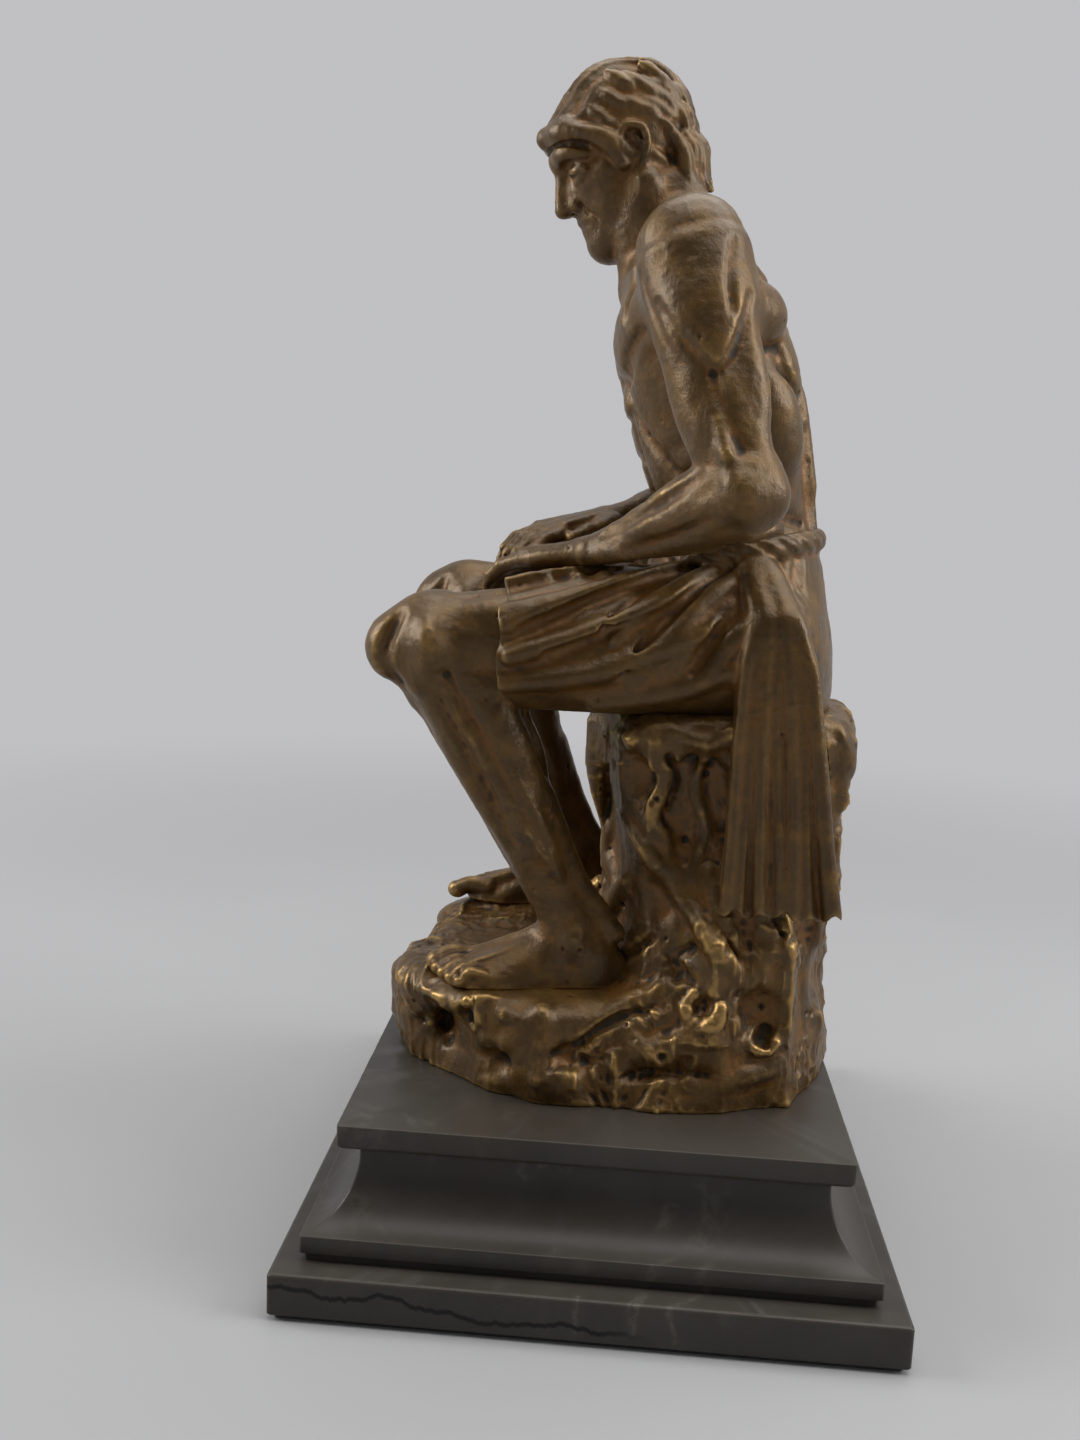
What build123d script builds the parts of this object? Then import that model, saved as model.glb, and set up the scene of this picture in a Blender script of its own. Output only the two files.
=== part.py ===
"""A bronze statuette of a seated man on a rock, bolted to a moulded black marble base.

The man sits upright in thought, with his head bowed and his hands folded in his lap, and
wears a cloth round his hips. He faces -X, his left side faces -Y, and the bench is at Z = 0.
The bronze is an assembly of castings brazed together: rock, hips with their cloth, trunk,
head, two arms, two legs and the hanging end of the cloth. A steel bar brazed inside the
rock carries two studs, which pass through the marble to nuts in counterbores, and a felt
sheet covers the underside.
"""

from build123d import *
from math import cos, radians, sin
import os

# Marble base, from the bench up
base_width = 135.0
base_depth = 149.0
slab_height = 9.9
slab_chamfer = 0.6
step_inset = 5.5
quirk_height = 2.3
quirk_inset = 7.2
fillet_height = 3.7
cove_height = 16.9
cove_inset = 16.1
cove_throat = 2.4
cap_height = 5.7
cap_inset = 11.8
cap_round = 1.5

# Felt under the base
felt_thickness = 0.8
felt_inset = 1.2

# Fixings between the rock and the marble
stud_radius = 3.0
stud_clearance = 0.5
stud_spacing = 50.0
washer_radius = 7.0
washer_thickness = 1.5
spring_washer_radius = 5.3
spring_washer_thickness = 1.5
spring_washer_slit = 1.0
nut_across_flats = 10.0
nut_height = 5.0
counterbore_radius = 9.0
counterbore_depth = 9.5
bar_width = 12.0
bar_thickness = 5.0
bar_lift = 1.0

# Rock
seat_height = 128.0
ground_length = 105.0
ground_depth = 96.0
column_length = 68.0
column_depth = 82.0
column_x = 25.0
rock_wall = 4.0
left_foot_level = 62.0
right_foot_level = 66.0
ledge_length = 50.0
ledge_depth = 30.0
ledge_x = -22.0
ledge_y = 25.0
ledge_draft = 2.5

# Figure
figure_height = 300.0
figure_x = 28.0
head_bow = 28.0
head_turn = 9.0
cloth_thickness = 2.0
casting_wall = 4.0
fold_radius = 2.2
roll_radius = 2.8
cloth_end_length = 66.0
cloth_end_width = 25.0
cloth_end_thickness = 9.0

# Heights of the base, worked up from the bench
slab_bottom = felt_thickness
slab_top = slab_bottom + slab_height
fillet_bottom = slab_top + quirk_height
fillet_top = fillet_bottom + fillet_height
cap_bottom = fillet_top + cove_height
base_top = cap_bottom + cap_height

# Rings of the ground and of the column that he sits on. Each has its height as a share of
# the way up from the marble, then its reach in twenty-four directions from the back round by
# the right side, as shares of half the length and half the depth. Long and short reaches in
# turn make the upright ridges and the hollows between them.
ground_ring_shares = (
    (0.00, (0.93, 0.98, 1.00, 0.97, 0.98, 0.96, 0.96, 0.98, 0.95, 0.98, 1.00, 0.95,
            0.95, 1.00, 1.01, 0.96, 0.97, 0.98, 0.93, 0.98, 1.03, 1.00, 1.00, 0.95)),
    (0.30, (0.95, 1.02, 0.99, 0.93, 1.00, 0.94, 0.92, 1.00, 0.92, 0.96, 1.03, 0.94,
            0.98, 1.05, 1.02, 0.92, 0.99, 1.02, 0.90, 0.94, 1.04, 0.98, 1.03, 0.95)),
    (0.62, (0.93, 1.00, 0.93, 0.88, 0.97, 0.90, 0.86, 0.97, 0.88, 0.92, 1.00, 0.92,
            0.96, 1.05, 1.04, 0.94, 0.99, 0.99, 0.84, 0.90, 1.00, 0.90, 1.00, 0.90)),
    (0.85, (0.90, 0.95, 0.88, 0.85, 0.93, 0.87, 0.82, 0.93, 0.86, 0.90, 0.97, 0.93,
            0.95, 1.05, 1.06, 1.02, 1.00, 0.95, 0.82, 0.85, 0.95, 0.86, 0.96, 0.87)),
    (1.00, (0.84, 0.90, 0.84, 0.82, 0.88, 0.83, 0.79, 0.88, 0.83, 0.87, 0.92, 0.90,
            0.91, 1.01, 1.03, 0.99, 0.97, 0.88, 0.78, 0.80, 0.89, 0.82, 0.90, 0.83)),
)
column_ring_shares = (
    (0.00, (0.97, 0.98, 0.92, 0.98, 0.94, 1.05, 0.98, 1.06, 1.00, 1.07, 1.02, 1.08,
            1.04, 1.10, 1.06, 1.10, 1.10, 1.04, 1.04, 1.02, 1.06, 0.95, 0.94, 0.95)),
    (0.22, (0.88, 0.93, 0.80, 0.94, 0.82, 0.98, 0.86, 0.99, 0.88, 0.97, 0.84, 0.88,
            0.78, 0.86, 0.84, 0.92, 1.00, 1.00, 1.04, 1.00, 1.06, 0.88, 0.94, 0.82)),
    (0.42, (0.90, 0.97, 0.78, 0.94, 0.78, 0.97, 0.80, 0.97, 0.82, 0.95, 0.78, 0.84,
            0.72, 0.80, 0.74, 0.82, 0.90, 0.88, 0.98, 0.96, 1.02, 0.82, 0.93, 0.80)),
    (0.62, (0.96, 1.03, 0.83, 0.97, 0.80, 0.99, 0.81, 0.98, 0.82, 0.97, 0.80, 0.90,
            0.78, 0.87, 0.78, 0.88, 0.96, 0.82, 0.78, 0.99, 0.79, 0.88, 1.00, 0.84)),
    (0.82, (1.02, 1.08, 0.88, 1.00, 0.85, 1.01, 0.85, 0.99, 0.86, 1.01, 0.87, 0.97,
            0.88, 0.98, 0.88, 1.00, 1.02, 0.84, 0.80, 1.00, 0.79, 0.93, 1.05, 0.90)),
    (0.94, (0.99, 1.04, 0.90, 0.98, 0.88, 0.98, 0.88, 0.97, 0.88, 0.99, 0.90, 0.97,
            0.90, 0.98, 0.90, 1.02, 1.03, 0.90, 0.88, 0.99, 0.84, 0.96, 1.05, 0.94)),
    (1.00, (0.90, 0.93, 0.88, 0.90, 0.86, 0.88, 0.86, 0.90, 0.86, 0.90, 0.88, 0.90,
            0.88, 0.90, 0.88, 0.93, 0.94, 0.88, 0.86, 0.90, 0.85, 0.90, 0.94, 0.90)),
)
# Pits in the near side of the rock: places over its length, depth and height, and radius
pit_shares = (
    (0.16, -0.525, 0.20, 0.050), (0.26, -0.505, 0.12, 0.030), (-0.31, -0.455, 0.14, 0.040),
    (0.44, -0.420, 0.83, 0.045), (-0.05, -0.500, 0.10, 0.025),
)

# Corners of the raised ledge under the right foot, as shares of its length and depth
ledge_outline_shares = (
    (-0.50, -0.10), (-0.38, -0.42), (-0.05, -0.50), (0.36, -0.44), (0.50, -0.12),
    (0.44, 0.34), (0.10, 0.50), (-0.30, 0.44),
)

# Places on the figure as shares of figure_height, from the seat under the hips: back, to
# the side, and up. An ankle is placed back and to the side, at its height over the sole.
hip_share = (0.000, 0.056, 0.050)
left_knee_share = (-0.235, 0.090, 0.043)
right_knee_share = (-0.232, 0.094, 0.061)
left_ankle_share = (-0.120, 0.084)
right_ankle_share = (-0.126, 0.080)
ankle_height_share = 0.040
foot_length_share = 0.148
shoulder_share = (-0.058, 0.112, 0.326)
left_elbow_share = (-0.012, 0.156, 0.162)
right_elbow_share = (-0.016, 0.150, 0.166)
left_wrist_share = (-0.122, 0.058, 0.117)
right_wrist_share = (-0.112, 0.052, 0.142)
left_knuckle_share = (-0.172, 0.022, 0.107)
right_knuckle_share = (-0.164, 0.006, 0.129)
skull_share = (-0.094, 0.0, 0.398)
head_share = (-0.114, 0.0, 0.424)
hem_share = -0.185

# Limb sections: the share of the bone, then the shift, half width and half depth over
# figure_height. The shift runs down on a thigh and to the back on a shank or an arm.
thigh_shares = (
    (0.00, 0.000, 0.058, 0.056), (0.25, 0.000, 0.055, 0.055), (0.55, 0.001, 0.047, 0.049),
    (0.82, 0.001, 0.038, 0.042), (1.00, 0.000, 0.035, 0.038), (1.10, 0.002, 0.029, 0.030),
    (1.17, 0.004, 0.015, 0.016),
)
shank_shares = (
    (-0.08, -0.002, 0.028, 0.030), (0.08, 0.000, 0.033, 0.035), (0.24, 0.005, 0.035, 0.037),
    (0.42, 0.008, 0.034, 0.035), (0.65, 0.004, 0.025, 0.027), (0.85, 0.002, 0.019, 0.022),
    (1.00, 0.002, 0.020, 0.024), (1.10, 0.003, 0.016, 0.020),
)
foot_shares = (
    (0.00, 0.000, 0.011, 0.014), (0.06, 0.000, 0.019, 0.026), (0.18, 0.000, 0.022, 0.037),
    (0.34, 0.000, 0.022, 0.044), (0.52, 0.001, 0.025, 0.033), (0.68, 0.002, 0.028, 0.023),
    (0.80, 0.002, 0.027, 0.017), (0.88, 0.002, 0.022, 0.011),
)
upper_arm_shares = (
    (-0.20, 0.004, 0.013, 0.015), (-0.13, 0.004, 0.029, 0.033), (0.00, 0.002, 0.038, 0.042),
    (0.20, 0.001, 0.038, 0.041), (0.42, -0.002, 0.031, 0.037), (0.62, -0.002, 0.029, 0.035),
    (0.85, 0.001, 0.026, 0.028), (1.00, 0.002, 0.024, 0.026), (1.09, 0.002, 0.017, 0.019),
)
forearm_shares = (
    (-0.10, 0.000, 0.018, 0.018), (0.04, 0.000, 0.026, 0.027), (0.24, 0.000, 0.027, 0.029),
    (0.52, 0.000, 0.023, 0.023), (0.82, 0.000, 0.017, 0.015), (1.00, 0.000, 0.016, 0.013),
    (1.12, 0.000, 0.014, 0.010),
)
palm_shares = (
    (-0.15, 0.000, 0.014, 0.010), (0.10, 0.000, 0.017, 0.012), (0.55, 0.000, 0.024, 0.012),
    (1.00, 0.000, 0.025, 0.009), (1.12, 0.000, 0.020, 0.005),
)
neck_shares = (
    (-0.50, 0.000, 0.046, 0.043), (0.00, 0.000, 0.042, 0.041), (0.40, 0.001, 0.037, 0.037),
    (0.80, 0.001, 0.036, 0.037), (1.15, 0.000, 0.031, 0.034),
)

# Details of a leg from its knee: start, end, half width and half depth. In turn: kneecap
# and calf.
leg_detail_shares = (
    ((-0.024, 0.0, 0.012), (-0.022, 0.0, -0.024), 0.016, 0.012),
    ((0.026, 0.004, -0.030), (0.062, 0.002, -0.130), 0.022, 0.014),
)
ankle_bone_share = 0.018
ankle_bone_size_share = 0.0095

# Fingers and toes: place across the palm or foot over figure_height, then length and radius
finger_shares = (
    (-0.0188, 0.036, 0.0058), (-0.0063, 0.041, 0.0060), (0.0063, 0.040, 0.0060),
    (0.0188, 0.032, 0.0053),
)
finger_curl_shares = ((0.00, 0.00, 1.00), (0.38, 0.04, 1.00), (0.72, 0.18, 0.92), (0.96, 0.42, 0.72))
finger_root_share = 0.012
thumb_shares = ((0.010, 0.020, 0.0060), (0.034, 0.028, 0.0068), (0.054, 0.026, 0.0056))
toe_shares = (
    (-0.0185, 0.030, 0.0078), (-0.0070, 0.031, 0.0054), (0.0030, 0.028, 0.0050),
    (0.0125, 0.024, 0.0047), (0.0210, 0.019, 0.0045),
)
toe_root_share = 0.010
# A toe from its root: the share of its length, of the root's height, and of its radius
toe_curl_shares = ((0.0, 1.0, 1.0), (0.5, 1.0, 1.0), (1.0, 0.5, 0.7))
# Along the foot: from the heel to the ankle, and to the row of toes. Then its turn outwards.
heel_share = 0.26
toe_row_share = 0.80
foot_turn_share = 0.14

# Trunk: back, up, then half width and half depth over figure_height, to the neck seam from
# below the waist seam, which is at the second section
trunk_shares = (
    (0.002, 0.080, 0.080, 0.056), (-0.003, 0.124, 0.080, 0.056), (-0.012, 0.165, 0.083, 0.060),
    (-0.028, 0.225, 0.094, 0.067), (-0.043, 0.275, 0.104, 0.067), (-0.054, 0.315, 0.104, 0.056),
    (-0.062, 0.340, 0.075, 0.046), (-0.068, 0.360, 0.042, 0.041),
)
# One side of a trunk section from the hollow of the spine round to the breastbone, as
# shares of its half depth and half width
trunk_outline_shares = (
    (0.90, 0.00), (1.00, 0.28), (0.84, 0.66), (0.14, 1.00), (-0.60, 0.84), (-0.97, 0.42),
    (-0.92, 0.00),
)
# Muscles of one side of the trunk: where each starts and ends, then half depth and half
# breadth. In turn: chest, shoulder to neck, shoulder blade, belly.
trunk_muscle_shares = (
    ((-0.092, 0.004, 0.268), (-0.062, 0.108, 0.298), 0.027, 0.034),
    ((-0.052, 0.000, 0.342), (-0.055, 0.102, 0.318), 0.036, 0.022),
    ((-0.024, 0.050, 0.330), (0.006, 0.046, 0.210), 0.024, 0.036),
    ((-0.080, 0.026, 0.262), (-0.042, 0.024, 0.110), 0.022, 0.028),
)
muscle_swell_shares = ((0.00, 0.30), (0.14, 0.74), (0.50, 1.00), (0.86, 0.74), (1.00, 0.30))

# Hips inside their cloth: back, up, half width and half depth, from under the seat up
pelvis_shares = (
    (0.006, -0.020, 0.090, 0.066), (0.005, 0.035, 0.096, 0.067), (0.002, 0.080, 0.089, 0.062),
    (-0.003, 0.124, 0.081, 0.057),
)
# Cloth that spans the lap: back, up, half width and half height
lap_shares = (
    (0.020, 0.070, 0.050, 0.030), (-0.070, 0.066, 0.070, 0.034), (-0.140, 0.062, 0.080, 0.032),
    (-0.200, 0.058, 0.088, 0.030),
)
# Folds over each thigh: places along it and round it from its inside by the top, in
# quarter turns, and their swell
thigh_fold_shares = (
    ((0.02, 0.90), (0.20, 1.10), (0.40, 1.35), (0.62, 1.60)),
    ((0.06, 1.35), (0.24, 1.55), (0.46, 1.80), (0.70, 2.05)),
    ((0.12, 0.60), (0.32, 0.78), (0.54, 1.00), (0.78, 1.22)),
    ((0.10, 1.80), (0.30, 2.00), (0.50, 2.20), (0.70, 2.35)),
)
fold_swell_shares = (0.40, 1.00, 0.90, 0.35)
thigh_taper_share = 0.018
# Folds that sag over the lap from thigh to thigh: back, height and sag over figure_height
swag_shares = ((-0.085, 0.099, 0.014), (-0.125, 0.094, 0.018), (-0.165, 0.088, 0.022))
swag_reach_share = 0.085
# A swag from side to side: the share of its reach, of its sag, and of the fold's radius
swag_curve_shares = (
    (-1.0, 0.0, 0.4), (-0.5, 0.75, 1.0), (0.0, 1.0, 1.0), (0.5, 0.75, 1.0), (1.0, 0.0, 0.4),
)

# Head: height on its own axis, shift forward, half width and half depth over figure_height
skull_section_shares = (
    (-0.066, 0.033, 0.014, 0.010), (-0.057, 0.028, 0.026, 0.023), (-0.040, 0.018, 0.036, 0.035),
    (-0.018, 0.007, 0.040, 0.045), (0.006, 0.001, 0.0415, 0.051), (0.030, -0.001, 0.041, 0.052),
    (0.050, -0.002, 0.032, 0.042), (0.063, -0.002, 0.014, 0.020),
)
# One side of a head section, from the nape round to the middle of the face
head_outline_shares = (
    (-1.00, 0.00), (-0.84, 0.60), (-0.18, 1.00), (0.46, 0.86), (0.88, 0.48), (1.00, 0.00),
)
hair_section_shares = (
    (-0.036, -0.018, 0.034, 0.032), (-0.018, -0.012, 0.042, 0.042), (0.006, -0.006, 0.047, 0.052),
    (0.030, -0.003, 0.046, 0.057), (0.050, -0.003, 0.037, 0.047), (0.064, -0.003, 0.021, 0.027),
    (0.070, -0.003, 0.008, 0.011),
)
# The hair stays behind the plane through these two places: height and forward
hairline_shares = ((0.040, 0.052), (-0.014, 0.014))
# Bands across the face, from one side to its middle, as height, forward and out, then half
# height and half depth. In turn: brow, upper lip, lower lip, chin.
face_band_shares = (
    (((0.004, 0.034, 0.034), (0.0100, 0.0425, 0.020), (0.0105, 0.0470, 0.0)), 0.0055, 0.0065),
    (((-0.0352, 0.0420, 0.017), (-0.0336, 0.0480, 0.008), (-0.0334, 0.0505, 0.0)), 0.0026, 0.0042),
    (((-0.0374, 0.0420, 0.015), (-0.0390, 0.0470, 0.008), (-0.0394, 0.0490, 0.0)), 0.0030, 0.0046),
    (((-0.0520, 0.0300, 0.022), (-0.0550, 0.0380, 0.012), (-0.0560, 0.0420, 0.0)), 0.0095, 0.0100),
)
band_end_share = 0.45
# Forms on each side of the face: start and end as height, forward and out, then half height
# and half depth. In turn: cheek, nostril.
face_form_shares = (
    ((-0.014, 0.040, 0.012), (-0.008, 0.027, 0.035), 0.0100, 0.0100),
    ((-0.0215, 0.0545, 0.005), (-0.0205, 0.0470, 0.010), 0.0040, 0.0050),
)
eye_socket_shares = ((0.0010, 0.0560, 0.0090), (-0.0010, 0.0460, 0.0310), 0.0075, 0.0085)
eyelid_shares = ((-0.0005, 0.0430, 0.0080), (-0.0010, 0.0370, 0.0290), 0.0062, 0.0072)
nose_shares = (
    (0.012, 0.0490, 0.0042), (-0.004, 0.0545, 0.0050), (-0.015, 0.0600, 0.0062),
    (-0.0205, 0.0570, 0.0056),
)
# Locks of hair at the brow and at the nape: start and end as height, forward and out, then
# half sizes
brow_lock_shares = (
    ((0.0400, 0.0440, -0.004), (0.0300, 0.0400, 0.028), 0.0075, 0.0080),
    ((0.0310, 0.0390, 0.020), (0.0040, 0.0200, 0.041), 0.0075, 0.0070),
)
lock_shares = (
    ((0.004, -0.052, 0.006), (-0.044, -0.040, 0.008), 0.0090, 0.0075),
    ((0.004, -0.044, 0.022), (-0.040, -0.034, 0.022), 0.0090, 0.0075),
    ((0.004, -0.030, 0.036), (-0.034, -0.022, 0.032), 0.0090, 0.0075),
)
ear_share = (-0.006, -0.002, 0.0405)
ear_size_share = (0.0085, 0.0155, 0.0065)
ear_section_shares = ((-1.0, 0.35), (-0.6, 0.72), (0.0, 0.92), (0.6, 1.00), (1.0, 0.55))
ear_hollow_share = 0.55

# Outline of the hanging end of the cloth, as shares of its width and thickness
cloth_end_outline_shares = (
    (-0.50, 0.00), (-0.40, -0.50), (-0.27, -0.16), (-0.12, -0.56), (0.02, -0.18), (0.16, -0.52),
    (0.29, -0.14), (0.42, -0.44), (0.50, 0.02), (0.30, 0.50), (0.00, 0.56), (-0.30, 0.50),
)
# Its sections: how far down, the shift back and out over figure_height, and the size
cloth_end_section_shares = (
    (0.00, -0.010, -0.012, 0.50), (0.22, -0.004, 0.006, 0.80), (0.50, 0.002, 0.010, 0.95),
    (0.80, 0.010, 0.004, 1.08), (1.00, 0.014, 0.002, 1.00),
)
cloth_end_share = (0.022, 0.122, 0.070)

LEFT, RIGHT = -1, 1
across_body = Vector(0, 1, 0)
quarter_turn = radians(90)


def on_figure(share, side=RIGHT):
    """A place on the figure, from its shares back, to the side and up."""
    back, out, up = share
    return Vector(
        figure_x + back * figure_height, side * out * figure_height, seat_height + up * figure_height
    )


def on_foot(share, side, level):
    """The middle of an ankle over the level that the foot stands on."""
    back, out = share
    return Vector(
        figure_x + back * figure_height, side * out * figure_height,
        level + ankle_height_share * figure_height,
    )


def section_planes(centres, across):
    """Planes square to the line through the centres, with X along across."""
    planes = []
    for number, centre in enumerate(centres):
        before = centres[max(number - 1, 0)]
        after = centres[min(number + 1, len(centres) - 1)]
        planes.append(Plane(centre, x_dir=across, z_dir=after - before))
    return planes


def lofted(planes, sizes):
    """A smooth form through an ellipse on each plane."""
    with BuildPart() as form:
        for plane, (half_width, half_depth) in zip(planes, sizes):
            with BuildSketch(plane):
                Ellipse(half_width, half_depth)
        loft()
    return form.part


def limb(start, end, across, section_shares, thicker=0.0):
    """A limb from start to end, thickened all round where cloth covers it."""
    planes, sizes = [], []
    for along, shift, half_width, half_depth in section_shares:
        plane = Plane(start + (end - start) * along, x_dir=across, z_dir=end - start)
        middle = plane.origin + plane.y_dir * shift * figure_height
        planes.append(Plane(middle, x_dir=plane.x_dir, z_dir=plane.z_dir))
        sizes.append((half_width * figure_height + thicker, half_depth * figure_height + thicker))
    return lofted(planes, sizes)


def strand(points, across, radii):
    """A rounded strand, such as a finger or a fold, through the points."""
    return lofted(section_planes(points, across), [(radius, radius) for radius in radii])


def bulge(start, end, across, half_width, half_depth):
    """A form that swells in the middle of its way from start to end, such as a muscle."""
    centres = [start + (end - start) * along for along, _ in muscle_swell_shares]
    sizes = [(half_width * swell * figure_height, half_depth * swell * figure_height)
             for _, swell in muscle_swell_shares]
    return lofted(section_planes(centres, across), sizes)


def outline_section(plane, outline_shares, half_depth, half_width):
    """A smooth section that is the same on both sides, from the outline of one side."""
    one_side = [(x * half_depth, y * half_width) for x, y in outline_shares]
    other_side = [(x, -y) for x, y in reversed(one_side[1:-1])]
    with BuildSketch(plane) as section:
        with BuildLine():
            Spline(*one_side, *other_side, periodic=True)
        make_face()
    return section.sketch


def trunk_form(inset=0.0):
    """The trunk from the waist seam to the neck seam, or its hollow at a wall's inset."""
    count = len(trunk_shares) - (2 if inset else 0)
    sections = [
        outline_section(
            plane, trunk_outline_shares, depth * figure_height - inset, width * figure_height - inset
        )
        for plane, (_, _, width, depth) in zip(trunk_planes[:count], trunk_shares)
    ]
    with BuildPart() as form:
        loft(sections)
    return form.part


def hips_form(thicker):
    """The hips with both thighs, thickened by their cloth or thinned to their hollow."""
    planes = [Plane(plane.origin, x_dir=across_body, z_dir=plane.z_dir) for plane in pelvis_planes]
    sizes = [(width * figure_height + thicker, depth * figure_height + thicker)
             for _, _, width, depth in pelvis_shares]
    with BuildPart() as form:
        add(lofted(planes, sizes))
        add(limb(on_figure(hip_share, LEFT), left_knee, across_body, thigh_shares, thicker))
        add(limb(on_figure(hip_share, RIGHT), right_knee, across_body, thigh_shares, thicker))
    return form.part


def standing_planes(table):
    """Planes through a table of places up the middle of the figure, with X to the back."""
    planes = section_planes([on_figure((back, 0, up)) for back, up, _, _ in table], across_body)
    return [Plane(plane.origin, x_dir=across_body.cross(plane.z_dir), z_dir=plane.z_dir) for plane in planes]


def thigh_fold(fold, side, knee):
    """A fold of the cloth that runs along a thigh and down round it."""
    hip = on_figure(hip_share, side)
    points, radii = [], []
    for (along, turn), swell in zip(fold, fold_swell_shares):
        angle = turn * quarter_turn
        reach = (thigh_shares[0][2] - thigh_taper_share * along) * figure_height + cloth_thickness
        outwards = Vector(0, -cos(angle) * side, sin(angle))
        points.append(hip + (knee - hip) * along + outwards * reach)
        radii.append(fold_radius * swell)
    return strand(points, Vector(0, 0, 1), radii)


def swag(back, up, sag):
    """A fold of the cloth that sags between the thighs."""
    points, radii = [], []
    for out, drop, swell in swag_curve_shares:
        points.append(on_figure((back, out * swag_reach_share, up - drop * sag)))
        radii.append(fold_radius * swell)
    return strand(points, Vector(1, 0, 0), radii)


def rock_form(ring_shares, length, depth, middle, top, inset=0.0):
    """Straight facets between rings of corners, from the marble up to top."""
    half_length, half_depth = length / 2 - inset, depth / 2 - inset
    with BuildPart() as form:
        for rise, reaches in ring_shares:
            corners = []
            for number, reach in enumerate(reaches):
                angle = number * 4 * quarter_turn / len(reaches)
                corners.append((middle + reach * half_length * cos(angle), reach * half_depth * sin(angle)))
            with BuildSketch(Plane.XY.offset(base_top + rise * (top - inset - base_top))):
                Polygon(*corners, align=None)
        loft(ruled=True)
    return form.part


def foot_form(ankle, side, level):
    """A foot on its level, with its five toes pointing forward and a little outwards."""
    length = foot_length_share * figure_height
    forward = Vector(-1, side * foot_turn_share, 0).normalized()
    out = Vector(forward.Y, -forward.X, 0) * side
    heel = Vector(ankle.X, ankle.Y, level) - forward * length * heel_share
    with BuildPart() as foot:
        add(limb(heel, heel + forward * length, out, foot_shares))
        for across, reach, radius in toe_shares:
            root = heel + forward * length * toe_row_share + out * across * figure_height
            points, radii = [], []
            for along, height, girth in toe_curl_shares:
                lift = Vector(0, 0, height * toe_root_share * figure_height)
                points.append(root + forward * along * reach * figure_height + lift)
                radii.append(radius * girth * figure_height)
            add(strand(points, out, radii))
        split(bisect_by=Plane.XY.offset(level), keep=Keep.TOP)
    return foot.part


def leg_form(knee, ankle, side, level):
    """A bare leg from the hem of the cloth to the toes."""
    hip = on_figure(hip_share, side)
    with BuildPart() as leg:
        add(limb(hip, knee, across_body, thigh_shares))
        split(bisect_by=hem_plane, keep=Keep.BOTTOM)
        add(limb(knee, ankle, across_body, shank_shares))
        add(foot_form(ankle, side, level))
        for start, end, half_width, half_depth in leg_detail_shares:
            ends = [place + Vector(back, out * side, up) * figure_height
                    for place, (back, out, up) in ((knee, start), (knee, end))]
            add(bulge(*ends, across_body, half_width, half_depth))
        for out in (-ankle_bone_share, ankle_bone_share):
            bone = ankle + Vector(0, out, 0) * figure_height
            with Locations(bone):
                Sphere(ankle_bone_size_share * figure_height)
    return leg.part


def hand_form(wrist, knuckles, side):
    """A relaxed hand, palm down, with its fingers curling over."""
    forward = (knuckles - wrist).normalized()
    out = forward.cross(Vector(0, 0, 1)).normalized() * side
    down = forward.cross(out) * side
    with BuildPart() as hand:
        add(limb(wrist, knuckles, out, palm_shares))
        for place, reach, radius in finger_shares:
            root = knuckles + (out * place - forward * finger_root_share) * figure_height
            points, radii = [], []
            for along, drop, girth in finger_curl_shares:
                length = (reach + finger_root_share) * figure_height
                points.append(root + (forward * along + down * drop) * length)
                radii.append(radius * girth * figure_height)
            add(strand(points, out, radii))
        thumb = [wrist + (forward * along - out * inwards) * figure_height
                 for along, inwards, _ in thumb_shares]
        add(strand(thumb, down, [radius * figure_height for _, _, radius in thumb_shares]))
    return hand.part


def arm_form(elbow, wrist, knuckles, side):
    """An arm from the shoulder to the fingers."""
    shoulder = on_figure(shoulder_share, side)
    with BuildPart() as arm:
        add(limb(shoulder, elbow, across_body, upper_arm_shares))
        add(limb(elbow, wrist, (wrist - elbow).cross(Vector(0, 0, 1)), forearm_shares))
        add(hand_form(wrist, knuckles, side))
    return arm.part


def on_head(place, side=LEFT):
    """A place on the head, from its shares up, forward and out to one side."""
    height, forward, out = place
    return head_plane.from_local_coords(Vector(forward, -out * side, height) * figure_height)


def head_form(section_shares):
    """A form through level sections stacked along the axis of the head."""
    sections = [
        outline_section(
            Plane(on_head((height, shift, 0)), x_dir=head_plane.x_dir, z_dir=head_plane.z_dir),
            head_outline_shares, half_depth * figure_height, half_width * figure_height,
        )
        for height, shift, half_width, half_depth in section_shares
    ]
    with BuildPart() as form:
        loft(sections)
    return form.part


def head_detail(shares, side):
    """A form on one side of the face or the brow."""
    start, end, half_height, half_depth = shares
    return bulge(on_head(start, side), on_head(end, side), head_plane.z_dir, half_height, half_depth)


def hair_lock(shares, side):
    """A lock of hair at the nape."""
    start, end, half_breadth, half_depth = shares
    return bulge(on_head(start, side), on_head(end, side), head_plane.y_dir, half_breadth, half_depth)


def face_band(places, half_height, half_depth):
    """A form that runs across the face, the same on both sides of its middle."""
    centres = [on_head(place, LEFT) for place in places] + [on_head(place, RIGHT) for place in places[-2::-1]]
    swells = [band_end_share] + [1] * (len(centres) - 2) + [band_end_share]
    sizes = [(half_height * swell * figure_height, half_depth * swell * figure_height) for swell in swells]
    return lofted(section_planes(centres, head_plane.z_dir), sizes)


def ear_form(side, size):
    """An ear, as an oval shell that stands out from the head."""
    length, height, thickness = (share * figure_height * size for share in ear_size_share)
    middle = on_head(ear_share, side)
    outwards = head_plane.y_dir * (1 - size) * ear_size_share[2] * -side * figure_height
    planes = [
        Plane(
            middle + outwards * 2 + head_plane.z_dir * rise * height,
            x_dir=head_plane.x_dir, z_dir=head_plane.z_dir,
        )
        for rise, _ in ear_section_shares
    ]
    return lofted(planes, [(length * swell, thickness * swell) for _, swell in ear_section_shares])


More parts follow.
